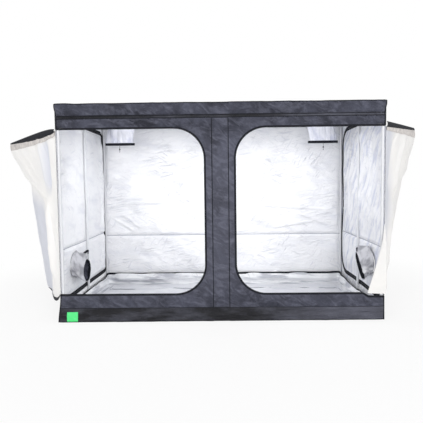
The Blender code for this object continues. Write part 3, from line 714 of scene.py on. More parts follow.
def creases(a, b, degrees, length, width, seed):
    """Ridges from 0 to 1 that run at an angle, with sharp crests and soft feet."""
    along, across = along_angle(a, b, degrees)
    across = across + width * soft_noise(a, b, length, seed + 1)
    ridge = np.abs(soft_noise(along / length, across / width, 1.0, seed))
    ridge = 1 - np.minimum(1, RIDGE_SHARPNESS * ridge)
    patch = ease(0.5 + 0.9 * soft_noise(a, b, length * RIDGE_PATCH_SHARE, seed + 2))
    return ridge ** RIDGE_POWER * patch


def mixed(pattern, a, b, parts, seed=0):
    """The sum of a pattern's parts, each (strength, degrees, length, width, what is added to the seed)."""
    return sum(strength * pattern(a, b, *sizes, seed + added) for strength, *sizes, added in parts)


FOLD_END_SHARE = 0.25


def one_fold(a, b, start, end, width):
    """A single ridge from 0 to 1 along a line between two places, with its crest on the line."""
    start, end = np.array(start), np.array(end)
    run = end - start
    length = np.linalg.norm(run)
    ax, bx = a - start[0], b - start[1]
    along = (ax * run[0] + bx * run[1]) / length ** 2
    across = (ax * run[1] - bx * run[0]) / length / width
    profile = np.exp(-(across / 0.5) ** 2)
    return profile * ease(along / FOLD_END_SHARE) * ease((1 - along) / FOLD_END_SHARE)


def travelled(points):
    """How far along a path each of its points is."""
    return np.concatenate([[0], np.cumsum(np.linalg.norm(np.diff(points, axis=0), axis=1))])


def interpolated(at, travel, points):
    return np.stack([np.interp(at, travel, points[:, k]) for k in range(3)], axis=1)


def two_corners(radius):
    """The area that two round corners take off a rectangle."""
    return (2 - math.pi / 2) * radius ** 2


def lines(low, high, step, extra=()):
    """Places of grid lines, with extra ones where a shape changes quickly."""
    count = max(1, math.ceil((high - low) / step))
    even = np.linspace(low, high, count + 1)
    kept = [x for x in even if all(abs(x - y) > step / 3 for y in extra) or x in (even[0], even[-1])]
    return np.array(sorted(set(kept) | {x for x in extra if low < x < high}))


def new_piece(name, points, faces, look, body, uv=None):
    """A mesh piece that rides on a body."""
    mesh = bpy.data.meshes.new(name)
    mesh.from_pydata(np.asarray(points).tolist(), [], faces)
    if uv is not None:
        layer = mesh.uv_layers.new(name="metres")
        index = np.zeros(len(mesh.loops), int)
        mesh.loops.foreach_get("vertex_index", index)
        layer.data.foreach_set("uv", np.asarray(uv, float)[index].ravel())
    mesh.shade_smooth()
    mesh.materials.append(MATERIALS[look])
    piece = bpy.data.objects.new(name, mesh)
    bpy.context.scene.collection.objects.link(piece)
    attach(piece, body)
    return piece


def grid_faces(columns, rows, flip, wrap=False):
    faces = []
    for i in range(columns - (0 if wrap else 1)):
        for j in range(rows - 1):
            k = (i + 1) % columns
            face = [i * rows + j, k * rows + j, k * rows + j + 1, i * rows + j + 1]
            faces.append(face[:1] + face[:0:-1] if flip else face)
    return faces


NEAR_STEPS = 0.55
LEAST_SLOPE = 0.25
SWEPT_SHARP_DEGREES = 50


def sheet_piece(name, a_lines, b_lines, place, look, body, inside=None, flip=False):
    """A sheet over grid lines. Where inside gives the distance inside a cut, the sheet's edge follows it."""
    a, b = np.meshgrid(a_lines, b_lines, indexing="ij")
    faces = grid_faces(len(a_lines), len(b_lines), flip)
    a, b = a.ravel().copy(), b.ravel().copy()
    if inside is not None:
        step = max(np.diff(a_lines).max(), np.diff(b_lines).max())
        depth = inside(a, b)
        near = np.abs(depth) < NEAR_STEPS * step
        small = step / 100
        slope_a = (inside(a + small, b) - inside(a - small, b)) / (2 * small)
        slope_b = (inside(a, b + small) - inside(a, b - small)) / (2 * small)
        size = np.maximum(slope_a ** 2 + slope_b ** 2, LEAST_SLOPE)
        a = np.where(near, a - depth * slope_a / size, a)
        b = np.where(near, b - depth * slope_b / size, b)
        good = near | (depth > 0)
        kept = []
        for face in faces:
            left = [k for k in face if good[k]]
            if len(left) >= 3:
                kept.append(left)
        used = sorted({k for face in kept for k in face})
        number = {k: n for n, k in enumerate(used)}
        faces = [[number[k] for k in face] for face in kept]
        a, b = a[used], b[used]
    points = np.stack(place(a, b), axis=1)
    return new_piece(name, points, faces, look, body, uv=np.stack([a, b], axis=1))


def frames_along(points, normals, closed=False):
    """Directions along a path, across it in the surface, and out of the surface."""
    if closed:
        run = np.roll(points, -1, axis=0) - np.roll(points, 1, axis=0)
    else:
        run = np.gradient(points, axis=0)
    run = run / np.linalg.norm(run, axis=1)[:, None]
    normals = np.broadcast_to(np.asarray(normals, float), points.shape)
    across = np.cross(normals, run)
    across = across / np.linalg.norm(across, axis=1)[:, None]
    return run, across, normals


def swept_piece(name, points, normals, section, look, body, closed=False):
    """A closed section of (across, out) carried along a path on a surface."""
    points = np.asarray(points, float)
    _, across, normals = frames_along(points, normals, closed)
    turned_back = list(zip(section, section[1:] + section[:1]))
    if sum(s[0] * e[1] - e[0] * s[1] for s, e in turned_back) > 0:
        section = section[::-1]
    rings = len(section)
    corners = np.concatenate(
        [points[:, None] + s * across[:, None] + t * normals[:, None] for s, t in section], axis=1
    )
    count = len(points)
    faces = []
    for i in range(count if closed else count - 1):
        k = (i + 1) % count
        for j in range(rings):
            m = (j + 1) % rings
            faces.append([i * rings + j, k * rings + j, k * rings + m, i * rings + m])
    if not closed:
        faces.append(list(range(rings)))
        faces.append([(count - 1) * rings + j for j in reversed(range(rings))])
    travel = travelled(points)
    uv = [(travel[i], section[j][0]) for i in range(count) for j in range(rings)]
    piece = new_piece(name, corners.reshape(-1, 3), faces, look, body, uv=uv)
    piece.data.set_sharp_from_angle(angle=math.radians(SWEPT_SHARP_DEGREES))
    return piece


def tape_section(near, far, thickness, lift=0.0):
    """A flat tape from near to far of the path, with rounded edges, lying on the surface."""
    edge = min(thickness, (far - near) / 4)
    return [
        (near, lift),
        (near, lift + thickness / 2),
        (near + edge, lift + thickness),
        (far - edge, lift + thickness),
        (far, lift + thickness / 2),
        (far, lift),
    ]


def round_section(radius, sides, out=0.0, over=0.0):
    """A round section, its middle moved across the path by over and off the surface by out."""
    turns = [2 * math.pi * k / sides for k in range(sides)]
    return [(over + radius * math.cos(t), out + radius * math.sin(t)) for t in turns]


def evenly(points, step):
    """Points a step apart along a path."""
    points = np.asarray(points, float)
    travel = travelled(points)
    count = max(2, int(round(travel[-1] / step)) + 1)
    at = np.linspace(0, travel[-1], count)
    return interpolated(at, travel, points)


def stitches(name, rows, look, body):
    """Rows of stitches, each row a path and its normal, as small domed threads in one piece."""
    corners, faces = [], []
    for path, normal in rows:
        places = evenly(path, STITCH_PITCH)
        run, across, out = frames_along(places, normal)
        half = STITCH_LENGTH / 2
        side = STITCH_WIDTH / 2
        first = sum(len(part) for part in corners)
        parts = []
        for along, over, up in (
            (-half, -side, 0), (half, -side, 0), (half, side, 0), (-half, side, 0),
            (-half / 2, 0, STITCH_HEIGHT), (half / 2, 0, STITCH_HEIGHT),
        ):
            parts.append(places + along * run + over * across + up * out)
        corners.append(np.stack(parts, axis=1).reshape(-1, 3))
        for k in range(len(places)):
            base = first + 6 * k
            for face in ((0, 1, 5, 4), (1, 2, 5), (2, 3, 4, 5), (3, 0, 4)):
                faces.append([base + n for n in face])
    return new_piece(name, np.concatenate(corners), faces, look, body)


def arc(across, up, radius, start, end, steps):
    angles = [math.radians(start + (end - start) * k / steps) for k in range(steps + 1)]
    return [(across + radius * math.cos(t), up + radius * math.sin(t)) for t in angles]


# Where cloth may move: it lies tight on poles and rails, and is slack between them
POLE_REST = 0.05
EDGE_REST = 0.03
BROAD_BULGE = 0.55
SMALL_BULGE = 0.23


def away_from(value, places, reach, rest=0.0):
    """0 within a rest of each of some places, rising to 1 over a reach beyond it."""
    share = 1.0
    for place in places:
        share = share * ease((np.abs(value - place) - rest) / reach)
    return share


def wall_freedom(a, b, pole_places, half_length):
    free = away_from(a, pole_places, POLE_REST)
    free = free * ease((half_length - np.abs(a)) / EDGE_REST)
    return free * ease((b - FLOOR_RAIL_HIGH.z) / EDGE_REST) * ease((RAIL_LOW.z - b) / EDGE_REST)


def wall_slack(a, b, free, depth, seed):
    """The bulge that both layers of a wall share, outwards."""
    broad = soft_noise(a, b, BROAD_BULGE, seed) + 0.5 * soft_noise(a, b, SMALL_BULGE, seed + 7)
    return depth * broad * free


FILM_PATCH = 0.50
FILM_BROAD_FACETS = ((1.0, 12, 0.46, 0.13, 0), (0.8, -30, 0.34, 0.11, 10))
FILM_SMALL_FACETS = ((1.0, 42, 0.16, 0.07, 20), (1.0, -58, 0.14, 0.06, 30))
CANVAS_LONG_CREASES = ((1.0, 84, 0.6, 0.16, 0), (0.6, 12, 0.5, 0.14, 10))
CANVAS_SHORT_CREASES = ((0.3, -60, 0.2, 0.07, 20),)


def film_creases(a, b, free, depth, seed):
    """Creases of the film, inwards: flat facets at several angles, deeper in some patches than in others."""
    patch = 0.30 + 0.70 * ease(0.5 + 0.9 * soft_noise(a, b, FILM_PATCH, seed + 2))
    broad = mixed(facets, a, b, FILM_BROAD_FACETS, seed)
    small = mixed(facets, a, b, FILM_SMALL_FACETS, seed)
    return depth * (0.62 * broad + 0.34 * small) * patch * free


def canvas_folds(a, b, free, depth, seed):
    long_ones = mixed(creases, a, b, CANVAS_LONG_CREASES, seed)
    return depth * (0.6 * long_ones + mixed(creases, a, b, CANVAS_SHORT_CREASES, seed)) * free


# Front panel
HEADER_BULGE = 0.010
LOWER_BAND_BULGE = 0.006
SKIRT_BULGE = 0.011
SKIRT_SHELF = 0.005
PANEL_CREASE = 0.007
FRONT_FOLDS = (
    ((-0.50, 1.842), (-0.345, 1.765), 0.018),
    ((-0.35, 1.765), (-0.24, 1.818), 0.015),
    ((0.225, 1.865), (0.298, 1.772), 0.018),
    ((0.296, 1.775), (0.41, 1.803), 0.013),
    ((0.405, 1.80), (0.52, 1.875), 0.018),
    ((-0.400, 0.270), (-0.30, 0.165), 0.013),
    ((0.345, 0.275), (0.43, 0.185), 0.013),
    ((0.18, 0.40), (0.30, 0.24), 0.005),
    ((0.430, 0.135), (0.50, 0.050), 0.012),
    ((0.495, 0.115), (0.575, 0.045), 0.012),
)
FOLD_WIDTH = 0.016
FOOT_CALM = 0.5
QUIET_EDGE = 0.012
QUIET_REACH = 0.03
BAND_EDGE = 0.012
LOWER_BAND_RISE = 0.02
SHELF_REACH = 0.09
MULLION_EDGE = 0.02
END_REACH = 0.02
PANEL_CREASES = (
    (1.0, 80, 0.20, 0.07, 41), (0.7, 15, 0.25, 0.06, 51),
    (0.8, -35, 0.22, 0.07, 61), (0.8, 42, 0.18, 0.06, 71),
)
PANEL_FACETS = ((1.1, 65, 0.24, 0.08, 91), (1.0, -20, 0.3, 0.09, 95))


def opening_distance(x, z):
    """How far a place is outside the nearer front opening, in the plane of the front panel."""
    half_x, half_z = HALF_WIDTH, (HEADER_BOTTOM - SILL_TOP) / 2
    from_x = np.abs(np.abs(x) - HALF_MULLION - half_x) - (half_x - OPENING_CORNER)
    from_z = np.abs(z - SILL_TOP - half_z) - (half_z - OPENING_CORNER)
    corner = np.sqrt(np.maximum(from_x, 0) ** 2 + np.maximum(from_z, 0) ** 2)
    return corner + np.minimum(np.maximum(from_x, from_z), 0) - OPENING_CORNER


def front_relief(x, z):
    """How far the front panel stands out: the header band over its channel, the skirt's shelf, folds."""
    quiet = ease((opening_distance(x, z) - QUIET_EDGE) / QUIET_REACH)
    header = HEADER_BULGE * band(z, CHANNEL_HIGH, HEIGHT, BAND_EDGE)
    header = header * (1 - 0.5 * ease((z - CHANNEL_HIGH) / (HEIGHT - CHANNEL_HIGH)))
    lower = LOWER_BAND_BULGE * band(z, HEADER_BOTTOM + LOWER_BAND_RISE, CHANNEL_LOW, BAND_EDGE)
    shelf = SKIRT_SHELF * ease((SILL_TOP - z) / SHELF_REACH)
    skirt = np.where(z < SILL_SEAM, SKIRT_BULGE * ease(z / SILL_SEAM), shelf)
    rough = mixed(creases, x, z, PANEL_CREASES) + mixed(facets, x, z, PANEL_FACETS)
    rough = PANEL_CREASE * rough * (1 - 0.75 * band(x, *MULLION_SEAMS, MULLION_EDGE))
    rough = rough * (1 - FOOT_CALM * ease((SILL_TOP - z) / SILL_TOP))
    relief = header + lower * quiet + skirt + rough * quiet
    for start, end, depth in FRONT_FOLDS:
        relief = relief + quiet * depth * one_fold(x, z, start, end, FOLD_WIDTH)
    return relief * ease((HALF_WIDTH - np.abs(x)) / END_REACH)


HEADER_END_DRAW = 0.010
TOP_LIFT = (0.008, 0.002)
TOP_LEAN = 0.014
FOOT_LEAN = (0.041, 0.006)
FOOT_SPREAD = 0.010
SAG_START = 1.30
SAG_DEPTH = 0.034
SAG_REACH = 0.07
SAG_BAND = (SILL_TOP - 0.07, SILL_TOP + 0.02, 0.06)
DRAWN_BAND = (HEADER_BOTTOM - 0.01, HEIGHT - 0.05, 0.05)
DRAWN_REACH = 0.12
LIFT_RIPPLE = 0.16
TOP_LEAN_REACH = 0.04
FOOT_LEAN_BELOW = 0.03


def from_left_to_right(x, ends):
    """A value that changes evenly from the tent's left end to its right end."""
    return ends[0] + (ends[1] - ends[0]) * (x + HALF_WIDTH) / (2 * HALF_WIDTH)


def front_shift(x, z):
    """How far the panel's cloth moves across and up: drawn-in header ends, the foot's spread, a sag."""
    drawn = HEADER_END_DRAW * band(z, *DRAWN_BAND)
    near_end = ease((np.abs(x) - HALF_WIDTH + DRAWN_REACH) / DRAWN_REACH)
    spread = FOOT_SPREAD * ease((SILL_TOP - z) / SILL_TOP) * (x < 0)
    sag = SAG_DEPTH * ease((x - SAG_START) / SAG_REACH) * band(z, *SAG_BAND)
    ripple = 0.8 + 0.3 * soft_noise(x, 0 * x, LIFT_RIPPLE, 81)
    lift = from_left_to_right(x, TOP_LIFT) * ease((z - CHANNEL_HIGH) / (HEIGHT - CHANNEL_HIGH)) * ripple
    return np.sign(x) * (spread - drawn) * near_end, lift - sag


def front_place(x, z):
    """The front panel's outer face."""
    across, up = front_shift(x, z)
    lean = TOP_LEAN * ease((z - CHANNEL_HIGH) / TOP_LEAN_REACH)
    lean = lean + from_left_to_right(x, FOOT_LEAN) * ease((SILL_TOP - FOOT_LEAN_BELOW - z) / SILL_TOP)
    return x + across, -HALF_DEPTH - front_relief(x, z) - lean, z + up


def front_lining_place(x, z):
    across, up = front_shift(x, z)
    return x + across, np.full_like(x, -HALF_DEPTH + CLOTH), z + np.minimum(up, 0)


def on_front(path):
    """A path in X and Z laid on the front panel."""
    return np.stack(front_place(path[:, 0], path[:, 2]), axis=1)


def opening_path(side, step=FILM_STEP):
    """The edge of one front opening, from the cover's corner round the mullion and back."""
    centre = HALF_MULLION + OPENING_CORNER
    lower = SILL_TOP + OPENING_CORNER
    upper = HEADER_BOTTOM - OPENING_CORNER
    outline = [(HALF_WIDTH, SILL_TOP)]
    outline += arc(centre, lower, OPENING_CORNER, 270, 180, 24)
    outline += arc(centre, upper, OPENING_CORNER, 180, 90, 24)
    outline += [(HALF_WIDTH, HEADER_BOTTOM)]
    path = on_front(evenly([(side * x, 0, z) for x, z in outline], step))
    return path if side > 0 else path[::-1]


def edge_binding_section():
    """Tape folded over a cut edge, a little proud on both faces."""
    deep, proud, wide = -BINDING_THICKNESS / 2 - CLOTH, BINDING_THICKNESS / 2, BINDING_WIDTH
    lip = BINDING_THICKNESS / 3
    return [
        (0, deep), (-lip, deep + lip), (-lip, proud - lip), (0, proud), (wide - lip, proud), (wide, 0),
        (wide, deep),
    ]


OUT_FRONT = (0, -1, 0)


def panel_line(points, step=FILM_STEP):
    return on_front(evenly([(x, 0, z) for x, z in points], step))


def offset_path(path, normal, distance):
    across = frames_along(path, normal)[1]
    return path + distance * across


CHANNEL_LINE_STEP = 0.003
SILL_LINE_SHIFTS = (-0.003, -0.0005, 0.0005, 0.003)
ZIP_CHAIN = {"radius": 0.0024, "sides": 8, "out": -0.0035, "over": -0.0030}
BINDING_STITCH = 0.0115
BINDING_STITCH_OUT = 0.0012
OUTER_STITCH = 0.024
MULLION_TAPE_HALF = 0.004
MULLION_STITCH = 0.008
BAND_SEAMS = (
    ("channel_low_seam", CHANNEL_LOW, 0.0055),
    ("channel_high_seam", CHANNEL_HIGH - 0.004, 0.006),
    ("sill_seam", SILL_SEAM, 0.004),
)
BAND_SEAM_END = 0.004
BAND_STITCH = 0.009
END_BINDING = [(-0.005, -0.006), (-0.005, 0.003), (0.005, 0.003), (0.005, -0.006)]
END_BINDING_FOOT = 0.001
TOP_BINDING_RADIUS = 0.0045
TOP_BINDING_BELOW = 0.001
FOOT_BINDING_RADIUS = 0.0035
FOOT_BINDING_UP = 0.004


def front_trim(name, path, section, look="tape"):
    return swept_piece(name, path, OUT_FRONT, section, look, "cover")


def make_opening_trims():
    """The binding and the zip round each opening, and the rows of stitches beside them."""
    trims, rows = [], []
    for hand, side in HANDS:
        path = opening_path(side)
        trims.append(front_trim("front_binding_" + hand, path, edge_binding_section()))
        trims.append(front_trim("front_zip_chain_" + hand, path, round_section(**ZIP_CHAIN), "zip"))
        rows.append(offset_path(path, OUT_FRONT, BINDING_STITCH) + np.array((0, -BINDING_STITCH_OUT, 0)))
        rows.append(offset_path(path, OUT_FRONT, OUTER_STITCH))
    return trims, rows


def make_seam_trims():
    """Tapes over the mullion's and the bands' seams, and the rows of stitches beside them."""
    trims, rows = [], []
    for number, x in enumerate(MULLION_SEAMS):
        path = panel_line([(x, SILL_SEAM), (x, CHANNEL_LOW)])
        section = tape_section(-MULLION_TAPE_HALF, MULLION_TAPE_HALF, TAPE_THICKNESS)
        trims.append(front_trim(f"mullion_seam_{number + 1}", path, section))
        rows += [offset_path(path, OUT_FRONT, sign * MULLION_STITCH) for sign in (-1, 1)]
    for name, z, half in BAND_SEAMS:
        path = panel_line([(-HALF_WIDTH + BAND_SEAM_END, z), (HALF_WIDTH - BAND_SEAM_END, z)])
        trims.append(front_trim(name, path, tape_section(-half, half, TAPE_THICKNESS)))
        rows += [offset_path(path, OUT_FRONT, sign * BAND_STITCH) for sign in (-1, 1)]
    return trims, rows


def make_panel_edges():
    """Bindings along the front panel's ends, top and foot."""
    trims = []
    for hand, side in HANDS:
        for name, low, high in (("header", HEADER_BOTTOM, HEIGHT), ("sill", END_BINDING_FOOT, SILL_TOP)):
            path = panel_line([(side * HALF_WIDTH, low), (side * HALF_WIDTH, high)])
            trims.append(front_trim(f"{name}_end_binding_{hand}", path, END_BINDING))
    for name, z, radius in (
        ("header_top_binding", HEIGHT - TOP_BINDING_BELOW, TOP_BINDING_RADIUS),
        ("foot_binding", FOOT_BINDING_UP, FOOT_BINDING_RADIUS),
    ):
        path = panel_line([(-HALF_WIDTH, z), (HALF_WIDTH, z)])
        trims.append(front_trim(name, path, round_section(radius, 8)))
    return trims


def make_front_panel():
    columns = lines(-HALF_WIDTH, HALF_WIDTH, FILM_STEP)
    close = [height + k * CHANNEL_LINE_STEP for height in (CHANNEL_LOW, CHANNEL_HIGH) for k in range(-2, 3)]
    close += [SILL_SEAM + shift for shift in SILL_LINE_SHIFTS]
    rows = lines(EDGE_CLEAR, HEIGHT - EDGE_CLEAR, FILM_STEP, close)
    canvas = sheet_piece(
        "front_canvas", columns, rows, front_place, "front_canvas", "cover", opening_distance
    )
    # The skirt's darker material also goes on the channel under the header band: painted shade in the recess.
    canvas.data.materials.append(MATERIALS["skirt"])
    for face in canvas.data.polygons:
        in_channel = CHANNEL_LOW < face.center.z < CHANNEL_HIGH
        face.material_index = 1 if face.center.z < SILL_SEAM or in_channel else 0
    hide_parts("front_panel")
    lining = sheet_piece(
        "front_lining", lines(-HALF_WIDTH + CLOTH, HALF_WIDTH - CLOTH, LINING_STEP),
        lines(CLOTH, HEIGHT - CLOTH, LINING_STEP), front_lining_place, "film", "cover", opening_distance,
        flip=True,
    )
    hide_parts("front_panel")
    opening = (HALF_WIDTH - HALF_MULLION) * (HEADER_BOTTOM - SILL_TOP)
    opening = opening - two_corners(OPENING_CORNER)
    opening_trims, opening_rows = make_opening_trims()
    seam_trims, seam_rows = make_seam_trims()
    trims = opening_trims + seam_trims + make_panel_edges()
    stitch_rows = [(row, OUT_FRONT) for row in opening_rows + seam_rows]
    trims.append(stitches("front_stitching", stitch_rows, "thread", "cover"))


# Walls
SEAM_HALF = 0.006
BACK_POLES = (-POLE_X, 0.0, POLE_X)
SIDE_POLES = (-POLE_Y, 0.0, POLE_Y)
WALL_SLACK = 0.010
BACK_FOLDS = (
    ((-1.40, 1.02), (-0.60, 1.035), 0.012),
    ((-1.38, 1.08), (-0.95, 1.09), 0.008),
    ((-1.42, 0.86), (-1.10, 0.66), 0.012),
    ((-1.30, 0.90), (-1.02, 0.70), 0.010),
    ((-1.44, 1.60), (-1.20, 1.50), 0.008),
    ((0.30, 1.00), (1.30, 0.93), 0.008),
    ((0.90, 0.90), (1.35, 0.72), 0.009),
    ((0.60, 0.70), (1.25, 0.80), 0.008),
)


BACK_FOLD_WIDTH = 0.022
PUCKER_FADE = 0.035
PUCKER_PITCH = 0.022
PUCKER_DEPTH = 0.003
SEAM_REACH = 0.02
BACK_CREASE = 0.017
CANVAS_FOLD = 0.008
SEAM_TAPE = (-0.005, 0.005, 0.0010)
SEAM_END = 0.02
SEAM_STITCHES = (-0.003, 0.003)
SEAM_STITCH_OUT = 0.001


def seam_pucker(a, b, height, seed):
    """Short upright puckers that fade away above and below a sewn seam."""
    fade = np.exp(-((b - height) / PUCKER_FADE) ** 2)
    return fade * (0.5 + 0.5 * soft_noise(a, b, PUCKER_PITCH, seed))


def back_bulge(x, z):
    free = wall_freedom(x, z, BACK_POLES, HALF_WIDTH)
    return wall_slack(x, z, free, WALL_SLACK, 11)


def back_film_place(x, z):
    free = wall_freedom(x, z, BACK_POLES, HALF_WIDTH) * away_from(z, (BACK_SEAM,), SEAM_REACH, SEAM_HALF)
    puckers = PUCKER_DEPTH * seam_pucker(x, z, BACK_SEAM, 131) * free
    inwards = film_creases(x, z, free, BACK_CREASE, 101) + puckers
    for start, end, depth in BACK_FOLDS:
        inwards = inwards + free * depth * one_fold(x, z, start, end, BACK_FOLD_WIDTH)
    return x, HALF_DEPTH - LAYER_GAP + back_bulge(x, z) - inwards, z


def back_canvas_place(x, z):
    free = wall_freedom(x, z, BACK_POLES, HALF_WIDTH)
    return x, HALF_DEPTH + back_bulge(x, z) + canvas_folds(x, z, free, CANVAS_FOLD, 151), z


def seam_lines(height):
    """Grid lines that keep a sheet flat under a seam's tape."""
    return (height - SEAM_HALF, height, height + SEAM_HALF)


def make_back_wall():
    inner_x = lines(-HALF_WIDTH + CLOTH, HALF_WIDTH - CLOTH, FILM_STEP)
    inner_z = lines(CLOTH, HEIGHT - CLOTH, FILM_STEP, seam_lines(BACK_SEAM))
    film = sheet_piece("back_film", inner_x, inner_z, back_film_place, "film", "cover")
    outer_x = lines(-HALF_WIDTH, HALF_WIDTH, CANVAS_STEP)
    outer_z = lines(EDGE_CLEAR, HEIGHT - EDGE_CLEAR, CANVAS_STEP)
    canvas = sheet_piece("back_canvas", outer_x, outer_z, back_canvas_place, "canvas", "cover", flip=True)
    end = HALF_WIDTH - SEAM_END
    path = evenly([(-end, 0, BACK_SEAM), (end, 0, BACK_SEAM)], FILM_STEP)
    inner, outer = path.copy(), path.copy()
    inner[:, 1] = back_film_place(path[:, 0], path[:, 2])[1]
    outer[:, 1] = back_canvas_place(path[:, 0], path[:, 2])[1]
    # The film's seam tape is grey: a painted shadow of the seam's fold.
    section = tape_section(*SEAM_TAPE)
    trims = [swept_piece("back_film_seam", inner, OUT_FRONT, section, "seam", "cover")]
    rows = [(inner + np.array((0, -SEAM_STITCH_OUT, up)), OUT_FRONT) for up in SEAM_STITCHES]
    trims.append(stitches("back_film_stitching", rows, "pale_thread", "cover"))
    outer_trim = swept_piece("back_canvas_seam", outer, (0, 1, 0), section, "tape", "cover")
    for piece, held_trims in ((film, trims), (canvas, [outer_trim])):
        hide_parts("back_wall")
        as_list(held_trims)


def side_door_distance(y, z, side):
    """How far a place is outside the side door's outline."""
    back, radius = SIDE_DOOR_BACKS[side], SIDE_DOOR_CORNERS[side]
    half_y = back - SIDE_DOOR_FRONT
    middle_z, half_z = (SIDE_DOOR_HIGH + SIDE_DOOR_LOW) / 2, (SIDE_DOOR_HIGH - SIDE_DOOR_LOW) / 2
    from_y = np.abs(y - SIDE_DOOR_FRONT) - (half_y - radius)
    from_z = np.abs(z - middle_z) - (half_z - radius)
    corner = np.sqrt(np.maximum(from_y, 0) ** 2 + np.maximum(from_z, 0) ** 2)
    rounded = corner + np.minimum(np.maximum(from_y, from_z), 0) - radius
    square = np.maximum(np.maximum(SIDE_DOOR_LOW - z, z - SIDE_DOOR_HIGH), SIDE_DOOR_FRONT - y)
    return np.where(y < back - radius, np.maximum(square, from_y - radius), rounded)


def side_freedom(y, z, side):
    free = wall_freedom(y, z, SIDE_POLES, HALF_DEPTH)
    return free * ease((np.abs(side_door_distance(y, z, side)) - ZIP_TAPE) / ZIP_REACHES[side])


def off_port(y, z, reach):
    """0 on the vent port's edge and inside it, rising to 1 over a reach outside it."""
    return ease((np.hypot(y - VENT_Y, z - VENT_Z) - VENT_RADIUS) / reach)


def side_bulge(y, z, seed):
    free = wall_freedom(y, z, SIDE_POLES, HALF_DEPTH)
    return wall_slack(y, z, free * off_port(y, z, PORT_BULGE_REACH), WALL_SLACK, seed)


ZIP_TAPE = 0.024
ZIP_TAPE_GAP = 0.0012
HINGE_TAPE = 0.008
HINGE_TAPE_THICKNESS = 0.001
SIDE_CHAIN = {"radius": 0.0022, "sides": 8, "out": 0.001, "over": 0.0022}
SIDE_SEAM_END = 0.004
PORT_REACH = 0.05
PORT_BULGE_REACH = 0.08
SIDE_SEEDS = {-1: 200, 1: 300}
ZIP_REACHES = {-1: 0.03, 1: 0.16}
REAR_BULGE = 0.026
REAR_BULGE_DEPTHWAYS = (0.58, 0.67, 0.07)
REAR_BULGE_UPWARDS = (0.32, 1.78, 0.16)
STEEP_DEPTH = 0.014
STEEP_REACH = 0.3
STEEP_CREASES = ((1.0, -62, 0.45, 0.085, 351), (1.0, -78, 0.5, 0.07, 361))
STEEP_FACETS = ((0.8, -60, 0.5, 0.09, 371),)
WALL_LOOKS = {-1: "left_wall", 1: "wall"}
WRINKLE_DEPTHS = {-1: 0.018, 1: 0.030}


def side_film_place(side):
    seed = SIDE_SEEDS[side]

    def place(y, z):
        free = side_freedom(y, z, side) * away_from(z, (SIDE_SEAM,), SEAM_REACH, SEAM_HALF)
        inwards = film_creases(y, z, free, WRINKLE_DEPTHS[side], seed)
        if side < 0:
            rear = band(y, *REAR_BULGE_DEPTHWAYS) * band(z, *REAR_BULGE_UPWARDS)
            inwards = inwards + REAR_BULGE * rear * free
        else:
            steep = mixed(creases, y, z, STEEP_CREASES) + mixed(facets, y, z, STEEP_FACETS)
            inwards = inwards + STEEP_DEPTH * steep * free * ease((z - SIDE_SEAM) / STEEP_REACH)
        depth = LAYER_GAP - side_bulge(y, z, seed) + inwards * off_port(y, z, PORT_REACH)
        return side * (HALF_WIDTH - depth), y, z

    return place


def side_canvas_place(side):
    seed = SIDE_SEEDS[side]

    def place(y, z):
        free = side_freedom(y, z, side) * off_port(y, z, PORT_REACH)
        out = side_bulge(y, z, seed) + canvas_folds(y, z, free, CANVAS_FOLD, seed + 50)
        return side * (HALF_WIDTH + out), y, z

    return place


def on_wall(path, place):
    """A path in Y and Z laid on a wall's surface."""
    x, y, z = place(path[:, 1], path[:, 2])
    return np.stack([x, y, z], axis=1)


def side_zip_path(side, step=FILM_STEP):
    back, radius = SIDE_DOOR_BACKS[side], SIDE_DOOR_CORNERS[side]
    outline = [(SIDE_DOOR_FRONT, SIDE_DOOR_LOW)]
    outline += arc(back - radius, SIDE_DOOR_LOW + radius, radius, 270, 360, 20)
    outline += arc(back - radius, SIDE_DOOR_HIGH - radius, radius, 0, 90, 20)
    outline += [(SIDE_DOOR_FRONT, SIDE_DOOR_HIGH)]
    return evenly([(0, y, z) for y, z in outline], step)


def mirrored(section, sign):
    return [(sign * across, out) for across, out in section]


def make_side_trims(hand, side, layer, place, out):
    """A layer's zip, seam and hinge tapes, under the name of what they stay with: border or door."""
    wall, door = "cover", "side_door_" + hand
    normal = (out, 0, 0)
    towards_door = 1 if out > 0 else -1
    inside = layer == "film"
    back = SIDE_DOOR_BACKS[side]
    trims = {"side_border_": [], "side_door_": []}
    zip_line = on_wall(side_zip_path(side), place)
    for name, body, sign in (("side_border_", wall, -1), ("side_door_", door, 1)):
        section = mirrored(tape_section(ZIP_TAPE_GAP, ZIP_TAPE, TAPE_THICKNESS), sign * towards_door)
        tape = swept_piece(f"{name}{layer}_zip_tape_{hand}", zip_line, normal, section, "tape", body)
        trims[name].append(tape)
    chain = mirrored(round_section(**SIDE_CHAIN), towards_door)
    chain_piece = swept_piece(f"side_zip_{layer}_chain_{hand}", zip_line, normal, chain, "zip", door)
    trims["side_door_"].append(chain_piece)
    ends = [(0, SIDE_DOOR_FRONT + SIDE_SEAM_END, SIDE_SEAM), (0, back - SIDE_SEAM_END, SIDE_SEAM)]
    seam = on_wall(evenly(ends, FILM_STEP), place)
    # Inside, the seam tape is grey: a painted shadow of the seam's fold.
    look = "seam" if inside else "tape"
    section = tape_section(*SEAM_TAPE)
    seam_tape = swept_piece(f"side_door_{layer}_seam_{hand}", seam, normal, section, look, door)
    trims["side_door_"].append(seam_tape)
    ends = [(0, SIDE_DOOR_FRONT, SIDE_DOOR_LOW), (0, SIDE_DOOR_FRONT, SIDE_DOOR_HIGH)]
    hinge = on_wall(evenly(ends, FILM_STEP), place)
    look = "film" if inside else "tape"
    section = tape_section(-HINGE_TAPE, HINGE_TAPE, HINGE_TAPE_THICKNESS)
    hinge_tape = swept_piece(f"side_door_{layer}_hinge_tape_{hand}", hinge, normal, section, look, wall)
    trims["side_border_"].append(hinge_tape)
    return trims


